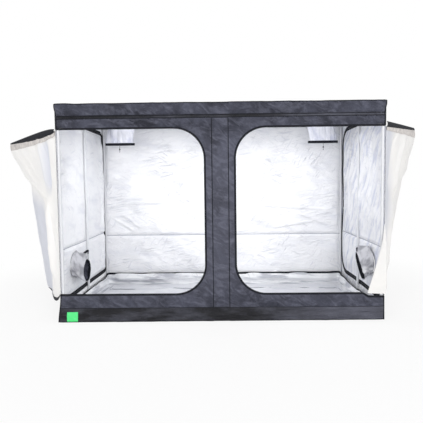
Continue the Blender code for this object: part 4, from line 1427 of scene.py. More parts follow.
def make_side_wall(hand, side):
    """The border round the side door and the door itself, each with film inside and canvas outside."""
    film, canvas = side_film_place(side), side_canvas_place(side)
    back, radius = SIDE_DOOR_BACKS[side], SIDE_DOOR_CORNERS[side]
    wall, door = "cover", "side_door_" + hand
    inner_y = lines(-HALF_DEPTH + CLOTH, HALF_DEPTH - CLOTH, FILM_STEP, (SIDE_DOOR_FRONT, back))
    inner_z = lines(
        CLOTH, HEIGHT - CLOTH, FILM_STEP, (SIDE_DOOR_LOW, SIDE_DOOR_HIGH, *seam_lines(SIDE_SEAM))
    )
    outer_y = lines(-HALF_DEPTH, HALF_DEPTH, SIDE_CANVAS_STEP)
    outer_z = lines(EDGE_CLEAR, HEIGHT - EDGE_CLEAR, SIDE_CANVAS_STEP)
    made = {}

    def border_inside(y, z):
        return side_door_distance(y, z, side) - SIDE_DOOR_CLEARANCE

    def side_door_inside(y, z):
        port = np.sqrt((y - VENT_Y) ** 2 + (z - VENT_Z) ** 2) - VENT_RADIUS - CLOTH
        return np.minimum(-side_door_distance(y, z, side), port)

    for name, body, inside in (("side_border_", wall, border_inside), ("side_door_", door, side_door_inside)):
        made[name, "film"] = sheet_piece(
            name + "film_" + hand, inner_y, inner_z, film, WALL_LOOKS[side], body, inside, flip=side > 0
        )
        made[name, "canvas"] = sheet_piece(
            name + "canvas_" + hand, outer_y, outer_z, canvas, "canvas", body, inside, flip=side < 0
        )
    trims = {
        "film": make_side_trims(hand, side, "film", film, -side),
        "canvas": make_side_trims(hand, side, "canvas", canvas, side),
    }
    for (name, layer), piece in made.items():
        node = ("side_wall_" if name == "side_border_" else "side_door_") + hand
        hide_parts(node)


# Roof and floor
BEAM_LOW, BEAM_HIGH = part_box("roof_cross_beam")
BAR_LOW, BAR_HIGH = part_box("hanging_bar_right")
BAR_X = (BAR_LOW.x + BAR_HIGH.x) / 2
BAR_TRAVEL = 0.25
ROOF_POLES_X = (-POLE_X, (BEAM_LOW.x + BEAM_HIGH.x) / 2, POLE_X)


ROOF_SAG = 0.012
ROOF_SAG_PITCH = 0.4
ROOF_CREASE = 0.010
SAG_REACHES = (0.10, 0.12)
LAYER_REACHES = (0.06, 0.05)
ROOF_RING = (-0.004, 0.022, 0.0022)
FLOOR_UP = 0.0002
FLOOR_REACH = 0.03
FLOOR_CREASES = ((0.0012, 20, 0.4, 0.12, 441),)


def roof_freedom(x, y, port_reach, edge_reach):
    """The roof lies flat on its poles and over the whole run of the hanging bars, which slide freely."""
    free = away_from(x, ROOF_POLES_X, POLE_REST)
    free = free * away_from(x, (-BAR_X, BAR_X), POLE_REST, BAR_TRAVEL + BAR_HIGH.x - BAR_X)
    return free * ease(port_inside(x, y) / port_reach) * ease((HALF_DEPTH - np.abs(y)) / edge_reach)


def port_inside(x, y):
    return np.hypot(np.abs(x) - ROOF_SLEEVE_X, y - ROOF_SLEEVE_Y) - ROOF_SLEEVE_RADIUS - CLOTH


def roof_sag(x, y):
    return -ROOF_SAG * roof_freedom(x, y, *SAG_REACHES) * (0.6 + 0.4 * soft_noise(x, y, ROOF_SAG_PITCH, 401))


def roof_canvas_place(x, y):
    folds = canvas_folds(x, y, roof_freedom(x, y, *LAYER_REACHES), CANVAS_FOLD, 411)
    return x, y, HEIGHT + roof_sag(x, y) + folds


def roof_film_place(x, y):
    wrinkles = film_creases(x, y, roof_freedom(x, y, *LAYER_REACHES), ROOF_CREASE, 421)
    return x, y, HEIGHT - CLOTH + roof_sag(x, y) - wrinkles


def circle_path(centre, radius, normal, steps=96):
    """Points round a circle, square to a direction."""
    normal = Vector(normal)
    first = normal.orthogonal().normalized()
    second = normal.cross(first)
    turns = [2 * math.pi * k / steps for k in range(steps)]
    return np.array([Vector(centre) + radius * (math.cos(t) * first + math.sin(t) * second) for t in turns])


def make_roof():
    x_lines = lines(-HALF_WIDTH, HALF_WIDTH, CANVAS_STEP)
    y_lines = lines(-HALF_DEPTH, HALF_DEPTH, CANVAS_STEP)
    canvas = sheet_piece("roof_canvas", x_lines, y_lines, roof_canvas_place, "canvas", "cover", port_inside)
    x_lines = lines(-HALF_WIDTH + CLOTH, HALF_WIDTH - CLOTH, ROOF_FILM_STEP)
    y_lines = lines(-HALF_DEPTH + CLOTH, HALF_DEPTH - CLOTH, ROOF_FILM_STEP)
    film = sheet_piece(
        "roof_film", x_lines, y_lines, roof_film_place, "film", "cover", port_inside, flip=True
    )
    section = mirrored(tape_section(*ROOF_RING), -1)
    rings = []
    for hand, side in HANDS:
        path = circle_path((side * ROOF_SLEEVE_X, ROOF_SLEEVE_Y, HEIGHT), ROOF_SLEEVE_RADIUS, UP)
        rings.append(swept_piece("roof_port_ring_" + hand, path, UP, section, "tape", "cover", closed=True))
    for piece, trims in ((canvas, rings), (film, [])):
        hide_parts("roof_panel")


def floor_place(x, y):
    lift = ease((HALF_DEPTH - np.abs(y)) / FLOOR_REACH) * mixed(creases, x, y, FLOOR_CREASES)
    return x, y, FLOOR_UP + lift


def make_floor_cloth():
    x_lines = lines(-HALF_WIDTH, HALF_WIDTH, FLOOR_STEP)
    y_lines = lines(-HALF_DEPTH, HALF_DEPTH, FLOOR_STEP)
    cloth = sheet_piece("floor_canvas", x_lines, y_lines, floor_place, "canvas", "cover", flip=True)
    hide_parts("floor_panel")


# Edge bindings of the cover
COVER_EDGE_UP = 0.003
COVER_EDGE_BELOW = 0.001
COVER_EDGE_RADIUS = 0.0030
LEVEL_SHARE = 0.45


def make_cover_edges():
    """Binding along the cover's sewn edges, from corner to corner."""
    x, y, low, high = HALF_WIDTH, HALF_DEPTH, COVER_EDGE_UP, HEIGHT - COVER_EDGE_BELOW
    edges = []
    for z in (low, high):
        for sign in (-1, 1):
            edges.append(((-x, sign * y, z), (x, sign * y, z)))
            edges.append(((sign * x, -y, z), (sign * x, y, z)))
    for sign in (-1, 1):
        edges.append(((sign * x, y, low), (sign * x, y, high)))
        edges.append(((sign * x, -y, low), (sign * x, -y, SILL_TOP)))
        edges.append(((sign * x, -y, HEADER_BOTTOM), (sign * x, -y, high)))
    for number, (start, end) in enumerate(edges):
        middle = (Vector(start) + Vector(end)) / 2 - Vector((0, 0, HEIGHT / 2))
        beyond = (abs(middle.x) > x / 2, abs(middle.y) > y / 2, abs(middle.z) > HEIGHT * LEVEL_SHARE)
        out = Vector([math.copysign(1, at) if far else 0 for at, far in zip(middle, beyond)]).normalized()
        path = evenly([start, end], EDGE_STEP)
        section = round_section(COVER_EDGE_RADIUS, 8)
        swept_piece(f"cover_edge_{number + 1:02d}", path, tuple(out), section, "tape", "cover")


# Front doors
def read_shares(shares, share):
    return np.interp(share, [low for low, _ in shares], [value for _, value in shares])


def door_width_at(height):
    below = DOOR_LOW + DOOR_CORNER - height
    above = height - (DOOR_HIGH - DOOR_CORNER)
    beyond = np.clip(np.maximum(below, above), 0.0, DOOR_CORNER)
    return DOOR_WIDTH - DOOR_CORNER + np.sqrt(DOOR_CORNER ** 2 - beyond ** 2)


def door_fold(out_share, up_share):
    line_share = MAIN_FOLD_HINGE_SHARE + (MAIN_FOLD_FREE_SHARE - MAIN_FOLD_HINGE_SHARE) * out_share
    below_line = (line_share - up_share) * DOOR_HEIGHT
    step = MAIN_FOLD_DEPTH * ease(below_line / MAIN_FOLD_WIDTH + 0.5)
    wave = np.sin(2 * math.pi * (FLUTE_COUNT * out_share + FLUTE_LEAN_SHARE * up_share))
    return (step + FLUTE_DEPTH * wave * (1 - up_share)) * ease(out_share)


DOOR_WRINKLE = 0.010
LEFT_DOOR_FOLDS = (
    ((0.27, 1.76), (0.27, 1.18), 0.035, 0.10),
    ((0.42, 1.75), (0.36, 1.22), -0.025, 0.09),
    ((1.34, 1.35), (0.40, 1.14), -0.016, 0.035),
    ((1.20, 1.26), (0.55, 1.05), 0.014, 0.05),
    ((0.30, 1.22), (0.26, 0.30), -0.050, 0.16),
    ((0.55, 1.05), (0.62, 0.32), 0.030, 0.15),
    ((0.95, 1.18), (0.90, 0.34), -0.020, 0.13),
)
RIGHT_DOOR_FOLDS = (
    ((0.76, 1.78), (0.32, 1.10), -0.040, 0.12),
    ((0.40, 1.74), (0.16, 1.15), 0.030, 0.12),
    ((0.36, 1.20), (0.30, 0.30), -0.035, 0.16),
    ((0.95, 1.70), (0.75, 0.50), 0.020, 0.16),
)
RIGHT_BILLOW = 0.16
RIGHT_BILLOW_TOP_SHARE = 0.42
SLACK_POWER = 1.3
SLACK_END_SHARE = 0.985
BILLOW_FORWARD = 0.034
BILLOW_CLEAR = 0.010
BILLOW_END = 0.14
LOOP_SPREAD_SHARE = 4.0
LEFT_FOOT_SAG = 0.17
RIGHT_FOOT_SAG = 0.008


def slack_at(billow, up_share):
    """Half the cloth that is slack beside the hinge at a share of the door's height."""
    return billow * np.clip(1 - up_share / RIGHT_BILLOW_TOP_SHARE, 0, 1) ** SLACK_POWER


def slack_share(billow, up_share):
    """The slack cloth's share of the door's width."""
    return 2 * slack_at(billow, up_share) / door_width_at(DOOR_LOW + DOOR_HEIGHT * up_share)


HINGE_REACH = 0.06
FREE_REACH_SHARE = 0.05
END_REACH_SHARE = 0.03
LEAST_LOOP = 0.001
DOOR_SEEDS = {-1: 500, 1: 600}
DOOR_CREASES = ((1.0, 78, 0.5, 0.12, 0), (-1.0, 60, 0.4, 0.10, 10))
DOOR_LEVEL_CREASES = ((1.0, 20, 0.3, 0.08, 20),)


def door_surface(side, swing_shares, corner_rise, folds, billow, foot_sag, lift=None):
    """Carries (share out, share up) to space. lift is the way off the cloth's middle, to the side wall."""
    seed = DOOR_SEEDS[side]

    def place(out_share, up_share):
        height = DOOR_LOW + DOOR_HEIGHT * up_share
        cloth_out = door_width_at(height) * out_share
        slack = slack_at(billow, up_share)
        out = np.maximum(cloth_out - 2 * slack, 0.0)
        swing = np.radians(read_shares(swing_shares, up_share))
        free = ease(out / HINGE_REACH) * ease((1 - out_share) / FREE_REACH_SHARE)
        free = free * ease(up_share / END_REACH_SHARE) * ease((1 - up_share) / END_REACH_SHARE)
        rough = mixed(creases, out, height, DOOR_CREASES, seed)
        rough = rough + 0.5 * (mixed(creases, out, height, DOOR_LEVEL_CREASES, seed) - 0.5)
        fold = door_fold(out / DOOR_WIDTH, up_share) + DOOR_WRINKLE * rough * free
        for start, end, depth, width in folds:
            fold = fold + depth * one_fold(out, height, start, end, width) * free
        off = lift(out_share, up_share) if lift else 0.0
        fold = fold + off
        x = HINGE_X + out * np.cos(swing) - fold * np.sin(swing)
        y = HINGE_Y + out * np.sin(swing) + fold * np.cos(swing)
        height = height + corner_rise * out / DOOR_WIDTH * up_share ** RISE_POWER
        loop = np.maximum(2 * slack, LEAST_LOOP)
        turn = np.where(slack > 0, np.clip(cloth_out / loop, 0, 1), 1.0)
        forward = ease(turn * 2) * (1 - ease(out / BILLOW_END)) * np.minimum(1, slack / BILLOW_FORWARD)
        x = x - (slack - LOOP_SPREAD_SHARE * off) * np.sin(math.pi * turn)
        y = y + LOOP_SPREAD_SHARE * off * forward
        height = height - foot_sag * (1 - (1 - np.clip(out_share / 0.5, 0, 1)) ** 2) * (1 - up_share) ** 4
        y = y - BILLOW_CLEAR * forward - BILLOW_FORWARD * forward * turn
        return side * x, y, height

    return place


def door_normals(surface, out_share, up_share, sign):
    """The surface's normals at places on a door."""
    small = 0.002
    low_out, high_out = np.clip(out_share - small, 0, 1), np.clip(out_share + small, 0, 1)
    low_up, high_up = np.clip(up_share - small, 0, 1), np.clip(up_share + small, 0, 1)
    along = np.stack(surface(high_out, up_share), 1) - np.stack(surface(low_out, up_share), 1)
    up = np.stack(surface(out_share, high_up), 1) - np.stack(surface(out_share, low_up), 1)
    normal = np.cross(along, up) * sign
    return normal / np.linalg.norm(normal, axis=1)[:, None]


def door_edge_shares(steps):
    """Shares along the door's three free edges: top, free edge with its round corners, bottom."""
    top = [(k / steps, 1.0) for k in range(1, steps)]
    free = [(1.0, (1 + math.cos(math.pi * k / (2 * steps))) / 2) for k in range(2 * steps)]
    bottom = [(1 - k / steps, 0.0) for k in range(steps)]
    return np.array(top + free + bottom)


TOP_HEM = (0.030, 0.036)
FOOT_TRIM = 0.022
FOOT_TRIM_LIFT = 0.003
PLEAT_PITCH = 0.045
PLEAT_DEPTH = 0.005


def lens(out_share, power):
    """0 at both ends and 1 between them."""
    return np.sin(math.pi * np.clip(out_share, 0, 1) ** power)


# The trims' edges below the door's top edge: at the ends, the bow between them, its power, the slope
TRIM_EDGES = {
    -1: ((-0.004, -0.024, 0.5, 0.0), (0.012, 0.026, 0.6, 0.0)),
    1: ((-0.046, 0.0, 1.0, 0.030), (0.006, 0.0, 1.0, 0.0)),
}
BAND_SHARES = (0.004, 0.996)
FINE_SHARE = 0.3
NORMAL_SHARE = 0.995
DOOR_TAPE_GAP = 0.0015
DOOR_CHAIN = {"radius": 0.0020, "sides": 8, "out": 0.0015, "over": 0.0032}
PLEAT_LENGTH = 0.02
PLEAT_LIFT = 0.002
TOP_TRIM_LIFT = 0.004
TOP_TRIM_CROWN = 0.008
TOP_TRIM_PLEAT_SHARE = 0.001
HEM_START_SHARE = 0.6
FOOT_TRIM_POWER = 0.8


def trim_edge(edge, out_share):
    ends, bow, power, slope = edge
    return ends + bow * lens(out_share, power) + slope * out_share


def make_door_band(name, body, look, surface_of, near, far, lift, side, rows=6):
    """A strip on the lining between two depths below the top edge."""
    out_lines = np.linspace(*BAND_SHARES, 160)
    depth_shares = np.linspace(0, 1, rows)

    def place(out_share, depth_share):
        depth = near(out_share) + (far(out_share) - near(out_share)) * depth_share
        up_share = 1 - depth / DOOR_HEIGHT
        raised = surface_of(lambda o, u: -LAYER_GAP / 2 - lift(o, depth_share))
        return raised(out_share, up_share)

    return sheet_piece(name, out_lines, depth_shares, place, look, body, flip=side < 0)


def door_part(name, across, up_lines, out_share_at, surface, look, body, flip):
    """Part of a door's cloth: out_share_at carries (share across the part, share up) to the share out."""
    a, up_share = (values.ravel() for values in np.meshgrid(across, up_lines, indexing="ij"))
    out_share = out_share_at(a, up_share)
    points = np.stack(surface(out_share, up_share), axis=1)
    uv = np.stack([out_share, up_share], axis=1)
    return new_piece(name, points, grid_faces(len(across), len(up_lines), flip), look, body, uv=uv)


def make_slack(hand, billow, surface_of, body):
    """The right door's loose cloth beside the hinge."""
    up_lines = np.linspace(0, RIGHT_BILLOW_TOP_SHARE * SLACK_END_SHARE, 60)
    flat = (2 * billow, RIGHT_BILLOW_TOP_SHARE * DOOR_HEIGHT)
    area = flat[0] * flat[1] / (1 + SLACK_POWER)
    for layer, look, lift, flip in (
        ("lining", "painted_shade_slack_lining", -LAYER_GAP / 2, True), ("canvas", "canvas", LAYER_GAP / 2, False),
    ):
        piece = door_part(
            f"front_door_slack_{layer}_{hand}", np.linspace(0, 1, 48), up_lines,
            lambda a, up: a * slack_share(billow, up), surface_of(lambda o, u: lift), look, body, flip,
        )
        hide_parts("front_door_" + hand)
        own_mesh(piece)
    return area


def pleats(out_share, depth_share):
    wave = soft_noise(out_share * DOOR_WIDTH, depth_share * PLEAT_LENGTH, PLEAT_PITCH / 2, 560)
    return PLEAT_LIFT + PLEAT_DEPTH * (0.5 + 0.5 * wave) * np.sin(math.pi * (0.15 + 0.7 * depth_share))


def make_door_trims(hand, side, surface_of):
    """The pleated hem, the trim over it and, on the left, the foot's trim."""
    body = "front_door_" + hand
    top, foot = TRIM_EDGES[side]

    def top_trim_lift(out_share, depth_share):
        crown = TOP_TRIM_CROWN * np.sin(math.pi * np.clip(depth_share, 0, 1))
        return TOP_TRIM_LIFT + crown + TOP_TRIM_PLEAT_SHARE * pleats(out_share, depth_share)

    bands = [
        (
            "hem", "hem", lambda o: trim_edge(foot, o) * HEM_START_SHARE,
            lambda o: trim_edge(foot, o) + TOP_HEM[0] + TOP_HEM[1] * o, pleats,
        ),
        ("top_trim", "tape", lambda o: trim_edge(top, o), lambda o: trim_edge(foot, o), top_trim_lift),
    ]
    if side < 0:
        bands.append((
            "foot_trim", "tape", lambda o: DOOR_HEIGHT - FOOT_TRIM * lens(o, FOOT_TRIM_POWER),
            lambda o: DOOR_HEIGHT + 0 * o, lambda o, d: FOOT_TRIM_LIFT * (1 + lens(d, 1.0)),
        ))
    return [
        make_door_band(f"front_door_{name}_{hand}", body, look, surface_of, near, far, lift, side)
        for name, look, near, far, lift in bands
    ]


def make_front_door(hand, side, swing_shares, corner_rise, folds, billow, foot_sag):
    body = "front_door_" + hand
    near_hinge, further = np.linspace(0, FINE_SHARE, 60)[:-1], np.linspace(FINE_SHARE, 1, 80)
    out_lines = np.concatenate([near_hinge, further])
    up_lines = (1 - np.cos(np.linspace(0, math.pi, 150))) / 2
    size = (DOOR_WIDTH, DOOR_HEIGHT)
    area = size[0] * size[1] - two_corners(DOOR_CORNER)

    def surface_of(lift):
        return door_surface(side, swing_shares, corner_rise, folds, billow, foot_sag, lift)

    for layer, look, lift, flip in (
        ("lining", hand + "_lining", -LAYER_GAP / 2, side > 0), ("canvas", "canvas", LAYER_GAP / 2, side < 0),
    ):
        surface = surface_of(lambda o, u: lift)
        door_part(
            f"front_door_{layer}_{hand}", out_lines, up_lines,
            lambda a, up: a + (1 - a) * slack_share(billow, up), surface, look, body, flip,
        )
        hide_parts(body)
    surface = surface_of(lambda o, u: LAYER_GAP / 2)
    shares = door_edge_shares(70)
    shares = shares[shares[:, 0] >= slack_share(billow, shares[:, 1])]
    if billow:
        area = area - make_slack(hand, billow, surface_of, body)
    path = np.stack(surface(shares[:, 0], shares[:, 1]), axis=1)
    off_edge = np.clip(shares[:, 0], 0, NORMAL_SHARE), np.clip(shares[:, 1], *BAND_SHARES)
    normals = door_normals(surface, *off_edge, -side)
    tape = mirrored(tape_section(DOOR_TAPE_GAP, ZIP_TAPE, TAPE_THICKNESS), side)
    chain = mirrored(round_section(**DOOR_CHAIN), side)
    edge_trims = [
        swept_piece("front_door_zip_tape_" + hand, path, normals, tape, "tape", body),
        swept_piece("front_door_zip_chain_" + hand, path, normals, chain, "zip", body),
    ]
    lining_trims = make_door_trims(hand, side, surface_of)


# Floor tray
TRAY_CORNER = 0.03
TRAY_FOOT = 0.09
TRAY_PROFILE_SHARES = (
    (1.0, 0.0), (0.66, 0.0), (0.4, 0.01), (0.2, 0.05), (0.09, 0.13), (0.03, 0.25), (0.0, 0.4),
    (0.0, 0.45), (0.0, 0.5), (0.0, 0.55), (0.0, 0.6), (0.0, 0.65), (0.0, 0.7), (0.0, 0.8),
    (0.0, 0.9), (0.0, 1.0),
)
TRAY_WAVE = 0.060
BELLY_CREST_SHARE = 0.52
BELLY_WANDER_SHARE = 0.16


def tray_loop(inset, step=FILM_STEP):
    """Points and outward directions round the tray, at an inset from its outer face."""
    half_x, half_y = TRAY_HIGH.x, TRAY_HIGH.y
    radius = TRAY_CORNER
    points, outs = [], []
    corners = ((1, 1, 0), (-1, 1, 90), (-1, -1, 180), (1, -1, 270))
    for across, along, start in corners:
        for k in range(9):
            turn = math.radians(start + 90 * k / 8)
            direction = (math.cos(turn), math.sin(turn))
            x = across * (half_x - radius) + radius * direction[0]
            y = along * (half_y - radius) + radius * direction[1]
            points.append((x, y, 0))
            outs.append((*direction, 0))
    points, outs = np.array(points + points[:1]), np.array(outs + outs[:1])
    travel = travelled(points)
    at = np.linspace(0, travel[-1], int(travel[-1] / step) + 1)[:-1]
    points = interpolated(at, travel, points)
    outs = interpolated(at, travel, outs)
    outs = outs / np.linalg.norm(outs, axis=1)[:, None]
    return points - inset * outs, outs, at


RIM_WAVE = 0.016
RIM_SAG = 0.036


RIM_ENDS_SAG = 0.004
RIM_SIDE = 0.06
RIM_SIDE_REACH = 0.05
RIM_SAG_PITCH = 0.26
RIM_WAVE_PITCH = 0.19
TRAY_CORNER_REACH = 0.15
TRAY_CORNER_SHARE = 0.2
BELLY_LEAST_SHARE = 0.10
BELLY_FACETS = ((1.10, 0, 0.22, 0.22, 701), (0.30, 0, 0.09, 0.09, 711))
BELLY_PITCH = 0.30
BELLY_START_SHARE = 0.08


def off_tray_corner(x, y):
    """0 in the tray's corners and 1 away from them."""
    reach = (TRAY_HIGH.x - np.abs(x)) / TRAY_CORNER_REACH + (TRAY_HIGH.y - np.abs(y)) / TRAY_CORNER_REACH
    return ease(reach - TRAY_CORNER_SHARE)


def rim_sag(points):
    """How far the tray's rim droops between the poles that hold it."""
    x, y = points[:, 0], points[:, 1]
    wave = 0.5 + 0.5 * soft_noise(x, y, RIM_SAG_PITCH, 751)
    side_share = ease((np.abs(x) - TRAY_HIGH.x + RIM_SIDE) / RIM_SIDE_REACH)
    return (RIM_SAG * side_share + RIM_ENDS_SAG) * wave * off_tray_corner(x, y)


def tray_wave(points, share_up):
    """How far the upstand leans inwards: bellies along it, sharp at a crest that wanders up and down."""
    x, y = points[:, 0], points[:, 1]
    belly = BELLY_LEAST_SHARE + mixed(facets, x, y, BELLY_FACETS)
    crest = BELLY_CREST_SHARE + BELLY_WANDER_SHARE * soft_noise(x, y, BELLY_PITCH, 721)
    below = np.clip((share_up - BELLY_START_SHARE) / (crest - BELLY_START_SHARE), 0, 1)
    rise = np.where(share_up > crest, (1 - share_up) / (1 - crest), below)
    rim = RIM_WAVE * (0.5 + 0.5 * soft_noise(x, y, RIM_WAVE_PITCH, 761)) * share_up ** 3
    return (TRAY_WAVE * belly * rise + rim) * off_tray_corner(x, y)


TRAY_LINE_Y = 0.40
TRAY_LINE_HALF = 1.36


TRAY_LINE_WANDER = 0.02
TRAY_LINE_PITCH = 0.5
TRAY_UP = 0.0005
TRAY_FOOT_LIFT = 0.0012
TRAY_FLOOR_LIFT = 0.0004
TRAY_REACH = 0.1
TRAY_FLOOR_SHARE = 0.7
TRAY_FACETS = ((0.008, 5, 0.5, 0.12, 721),)
TRAY_CREASES = ((0.008, 60, 0.4, 0.1, 731), (0.006, -30, 0.3, 0.08, 741))
TRAY_FOLDS = (((-1.15, 0.36), (-0.45, 0.38)), ((0.35, 0.40), (1.25, 0.36)))
TRAY_FOLD_DEPTH = 0.018
TRAY_FOLD_WIDTH = 0.025
TRAY_BINDING = [(-0.004, 0.001), (-0.0045, -0.021), (0.0045, -0.021), (0.004, 0.001), (0, 0.003)]
TRAY_WELD = (-0.008, 0.008, 0.001, 0.005)
TRAY_BASE = TRAY_LOW.z + TRAY_UP
TRAY_HEIGHT = TRAY_HIGH.z - TRAY_BASE
TRAY_FLOOR = (TRAY_HIGH.x - TRAY_FOOT * TRAY_FLOOR_SHARE, TRAY_HIGH.y - TRAY_FOOT * TRAY_FLOOR_SHARE)


def tray_floor_place(x, y):
    free = ease((TRAY_FLOOR[0] - np.abs(x)) / TRAY_REACH) * ease((TRAY_FLOOR[1] - np.abs(y)) / TRAY_REACH)
    lift = mixed(facets, x, y, TRAY_FACETS) + mixed(creases, x, y, TRAY_CREASES)
    for start, end in TRAY_FOLDS:
        lift = lift + TRAY_FOLD_DEPTH * one_fold(x, y, start, end, TRAY_FOLD_WIDTH)
    return x, y, TRAY_BASE + TRAY_FLOOR_LIFT + lift * free


def make_upstand():
    """The tray's wall, from its foot on the floor up to its rim, and the rim's points."""
    base, outs, travel = tray_loop(0)
    rows, uv = [], []
    for inset_share, up_share in TRAY_PROFILE_SHARES:
        lean = tray_wave(base, up_share) if up_share > 0 else 0 * travel
        points = base - (inset_share * TRAY_FOOT + lean)[:, None] * outs
        points[:, 2] += TRAY_BASE + up_share * TRAY_HEIGHT + (TRAY_FOOT_LIFT if inset_share == 1 else 0)
        points[:, 2] -= rim_sag(base) * up_share
        rows.append(points)
        uv.append([(at, TRAY_FOOT * (1 - inset_share) + TRAY_HEIGHT * up_share) for at in travel])
    faces = grid_faces(len(base), len(rows), True, wrap=True)
    points, uv = np.stack(rows, axis=1).reshape(-1, 3), np.stack(uv, axis=1).reshape(-1, 2)
    return new_piece("tray_upstand", points, faces, "upstand", "cover", uv=uv), rows[-1]


def make_tray():
    wall, rim = make_upstand()
    x_lines, y_lines = (lines(-reach, reach, TRAY_STEP) for reach in TRAY_FLOOR)
    floor = sheet_piece("tray_floor", x_lines, y_lines, tray_floor_place, "tray", "cover")
    binding = swept_piece("tray_binding", rim, UP, TRAY_BINDING, "tape", "cover", closed=True)
    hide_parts("floor_tray")
    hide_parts("floor_tray")
    line = evenly([(-TRAY_LINE_HALF, TRAY_LINE_Y, 0), (TRAY_LINE_HALF, TRAY_LINE_Y, 0)], TRAY_STEP)
    line[:, 1] += TRAY_LINE_WANDER * soft_noise(line[:, 0], line[:, 1], TRAY_LINE_PITCH, 771)
    line = np.stack(tray_floor_place(line[:, 0], line[:, 1]), axis=1)
    weld = swept_piece("tray_weld", line, UP, tape_section(*TRAY_WELD), "weld", "cover")


# Duct sleeves
SLEEVE_UV = 0.1


def tube_of_cloth(name, place, rounds, lengths, look, body, flip):
    """A sleeve: a function carries (angle, share along) to space."""
    angles = 2 * math.pi * np.arange(rounds) / rounds
    a, b = np.meshgrid(angles, lengths, indexing="ij")
    points = np.stack(place(a.ravel(), b.ravel()), axis=1)
    uv = np.stack([a.ravel() * SLEEVE_UV, b.ravel() * SLEEVE_UV], axis=1)
    return new_piece(name, points, grid_faces(rounds, len(lengths), flip, wrap=True), look, body, uv=uv)


def make_sleeve_layers(kind, hand, shape, rounds, rows, look, body, flip):
    """A sleeve's film and its lining, and the points round its mouth."""
    lengths = np.linspace(0, 1, rows)
    layers = [
        tube_of_cloth(
            f"{kind}_{layer}_{hand}", lambda a, b: shape(a, b, shift), rounds, lengths, layer_look, body, over
        )
        for layer, shift, layer_look, over in (
            ("film", 0.0, look, flip), ("lining", -LAYER_GAP, "canvas", not flip),
        )
    ]
    turns = np.linspace(0, 2 * math.pi, rounds, endpoint=False)
    return layers, np.stack(shape(turns, np.ones_like(turns), 0.0), axis=1)


SLEEVE_FLAT_SHARE = 0.14


ROOF_SLEEVE_SEEDS = {-1: 800, 1: 820}
ROOF_SLEEVE_PLEAT = 0.020
ROOF_SLEEVE_FOLD = 0.026
ROOF_HEM = [(-0.004, 0.0), (-0.004, SLEEVE_HEM), (0.003, SLEEVE_HEM), (0.003, 0.0)]


def make_roof_sleeve(hand, side):
    centre_x = side * ROOF_SLEEVE_X
    seed = ROOF_SLEEVE_SEEDS[side]

    def shape(angle, share, shift):
        drop = ROOF_SLEEVE_DROP * share
        calm = ease(share / 0.12) * ease((1 - share) / 0.10)
        ring_x, ring_y = np.cos(angle), np.sin(angle)
        pleat = np.abs(soft_noise(ring_x * 4, ring_y * 4, 1.0, seed))
        fold = facets(ring_x * 2.2, ring_y * 2.2 + share * 1.5, 35, 0.5, 0.35, seed + 1)
        radius = ROOF_SLEEVE_RADIUS - calm * (ROOF_SLEEVE_PLEAT * pleat + ROOF_SLEEVE_FOLD * fold) + shift
        flat = 1 - (1 - SLEEVE_FLAT_SHARE) * ease(share / 0.8)
        front = ROOF_SLEEVE_Y - ROOF_SLEEVE_RADIUS
        y = front + ROOF_SLEEVE_RADIUS * flat + radius * flat * ring_y
        return centre_x + radius * ring_x, y, HEIGHT - drop

    layers, mouth = make_sleeve_layers("roof_sleeve", hand, shape, 120, 28, "sleeve", "cover", flip=True)
    hem = swept_piece("roof_sleeve_hem_" + hand, mouth, UP, ROOF_HEM, "tape", "cover", closed=True)
    for piece, trims in zip(layers, ([hem], [])):
        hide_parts("roof_sleeve_" + hand)
        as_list(trims)


VENT_FLAT_SHARES = {-1: 1.0, 1: 0.62}
VENT_TILTS = {-1: 0.0, 1: 0.10}
VENT_PUFFS = {-1: 0.022, 1: 0.060}
VENT_FRONT_PUFFS = {-1: 0.055, 1: 0.0}
VENT_NARROW_SHARES = {-1: 0.1, 1: 0.40}
VENT_SHIFTS_BACK = {-1: 0.10, 1: 0.05}
VENT_SHIFTS_DOWN = {-1: 0.075, 1: 0.040}


VENT_SEEDS = {-1: 900, 1: 940}
VENT_CRUMPLE = 0.028
VENT_SHARP = 0.018
VENT_SMALL = 0.005
VENT_SWELL = 0.014
VENT_SHAKE = 0.010
VENT_HEM = [(-0.003, -SLEEVE_HEM), (-0.003, 0.0), (0.003, 0.0), (0.003, -SLEEVE_HEM)]
VENT_RING = (-0.004, 0.018, 0.002)
VENT_RING_OUT = 0.0005


def vent_sleeve_shape(side):
    seed = VENT_SEEDS[side]

    def shape(angle, share, shift):
        reach = VENT_COLLAR + (VENT_LENGTH - VENT_COLLAR) * share
        calm = ease(share / 0.15) * (1 - 0.75 * ease((share - 0.85) / 0.15))
        ring_x, ring_y = np.cos(angle), np.sin(angle)
        crumple = 2 * facets(ring_x * 1.5 + share, ring_y * 1.5 + share, 30, 1.0, 1.0, seed) - 1
        sharp = 2 * facets(ring_x * 3.0 + share, ring_y * 3.0 - share * 2.0, -20, 1.0, 1.0, seed + 5) - 1
        small = 2 * facets(ring_x * 6.0, ring_y * 6.0 + share * 4.0, 10, 1.0, 1.0, seed + 9) - 1
        top, front = np.maximum(ring_y, 0) ** 2, np.maximum(-ring_x, 0) ** 2
        swell = VENT_PUFFS[side] * top + VENT_FRONT_PUFFS[side] * front + VENT_SWELL
        rough = VENT_CRUMPLE * crumple + VENT_SHARP * sharp + VENT_SMALL * small
        radius = VENT_RADIUS + calm * (rough + swell) + shift
        flat = 1 - (1 - VENT_FLAT_SHARES[side]) * ease(share)
        narrow = 1 - VENT_NARROW_SHARES[side] * ease((1 - ring_y) / 2) * ease(share / 0.5)
        back = (VENT_SHIFTS_BACK[side] + VENT_TILTS[side] * ring_y) * ease(share)
        y = VENT_Y + radius * ring_x * flat * narrow + back
        z = VENT_Z + radius * ring_y - VENT_SHIFTS_DOWN[side] * ease(share)
        return side * (HALF_WIDTH - reach + VENT_SHAKE * calm * crumple), y, z

    return shape


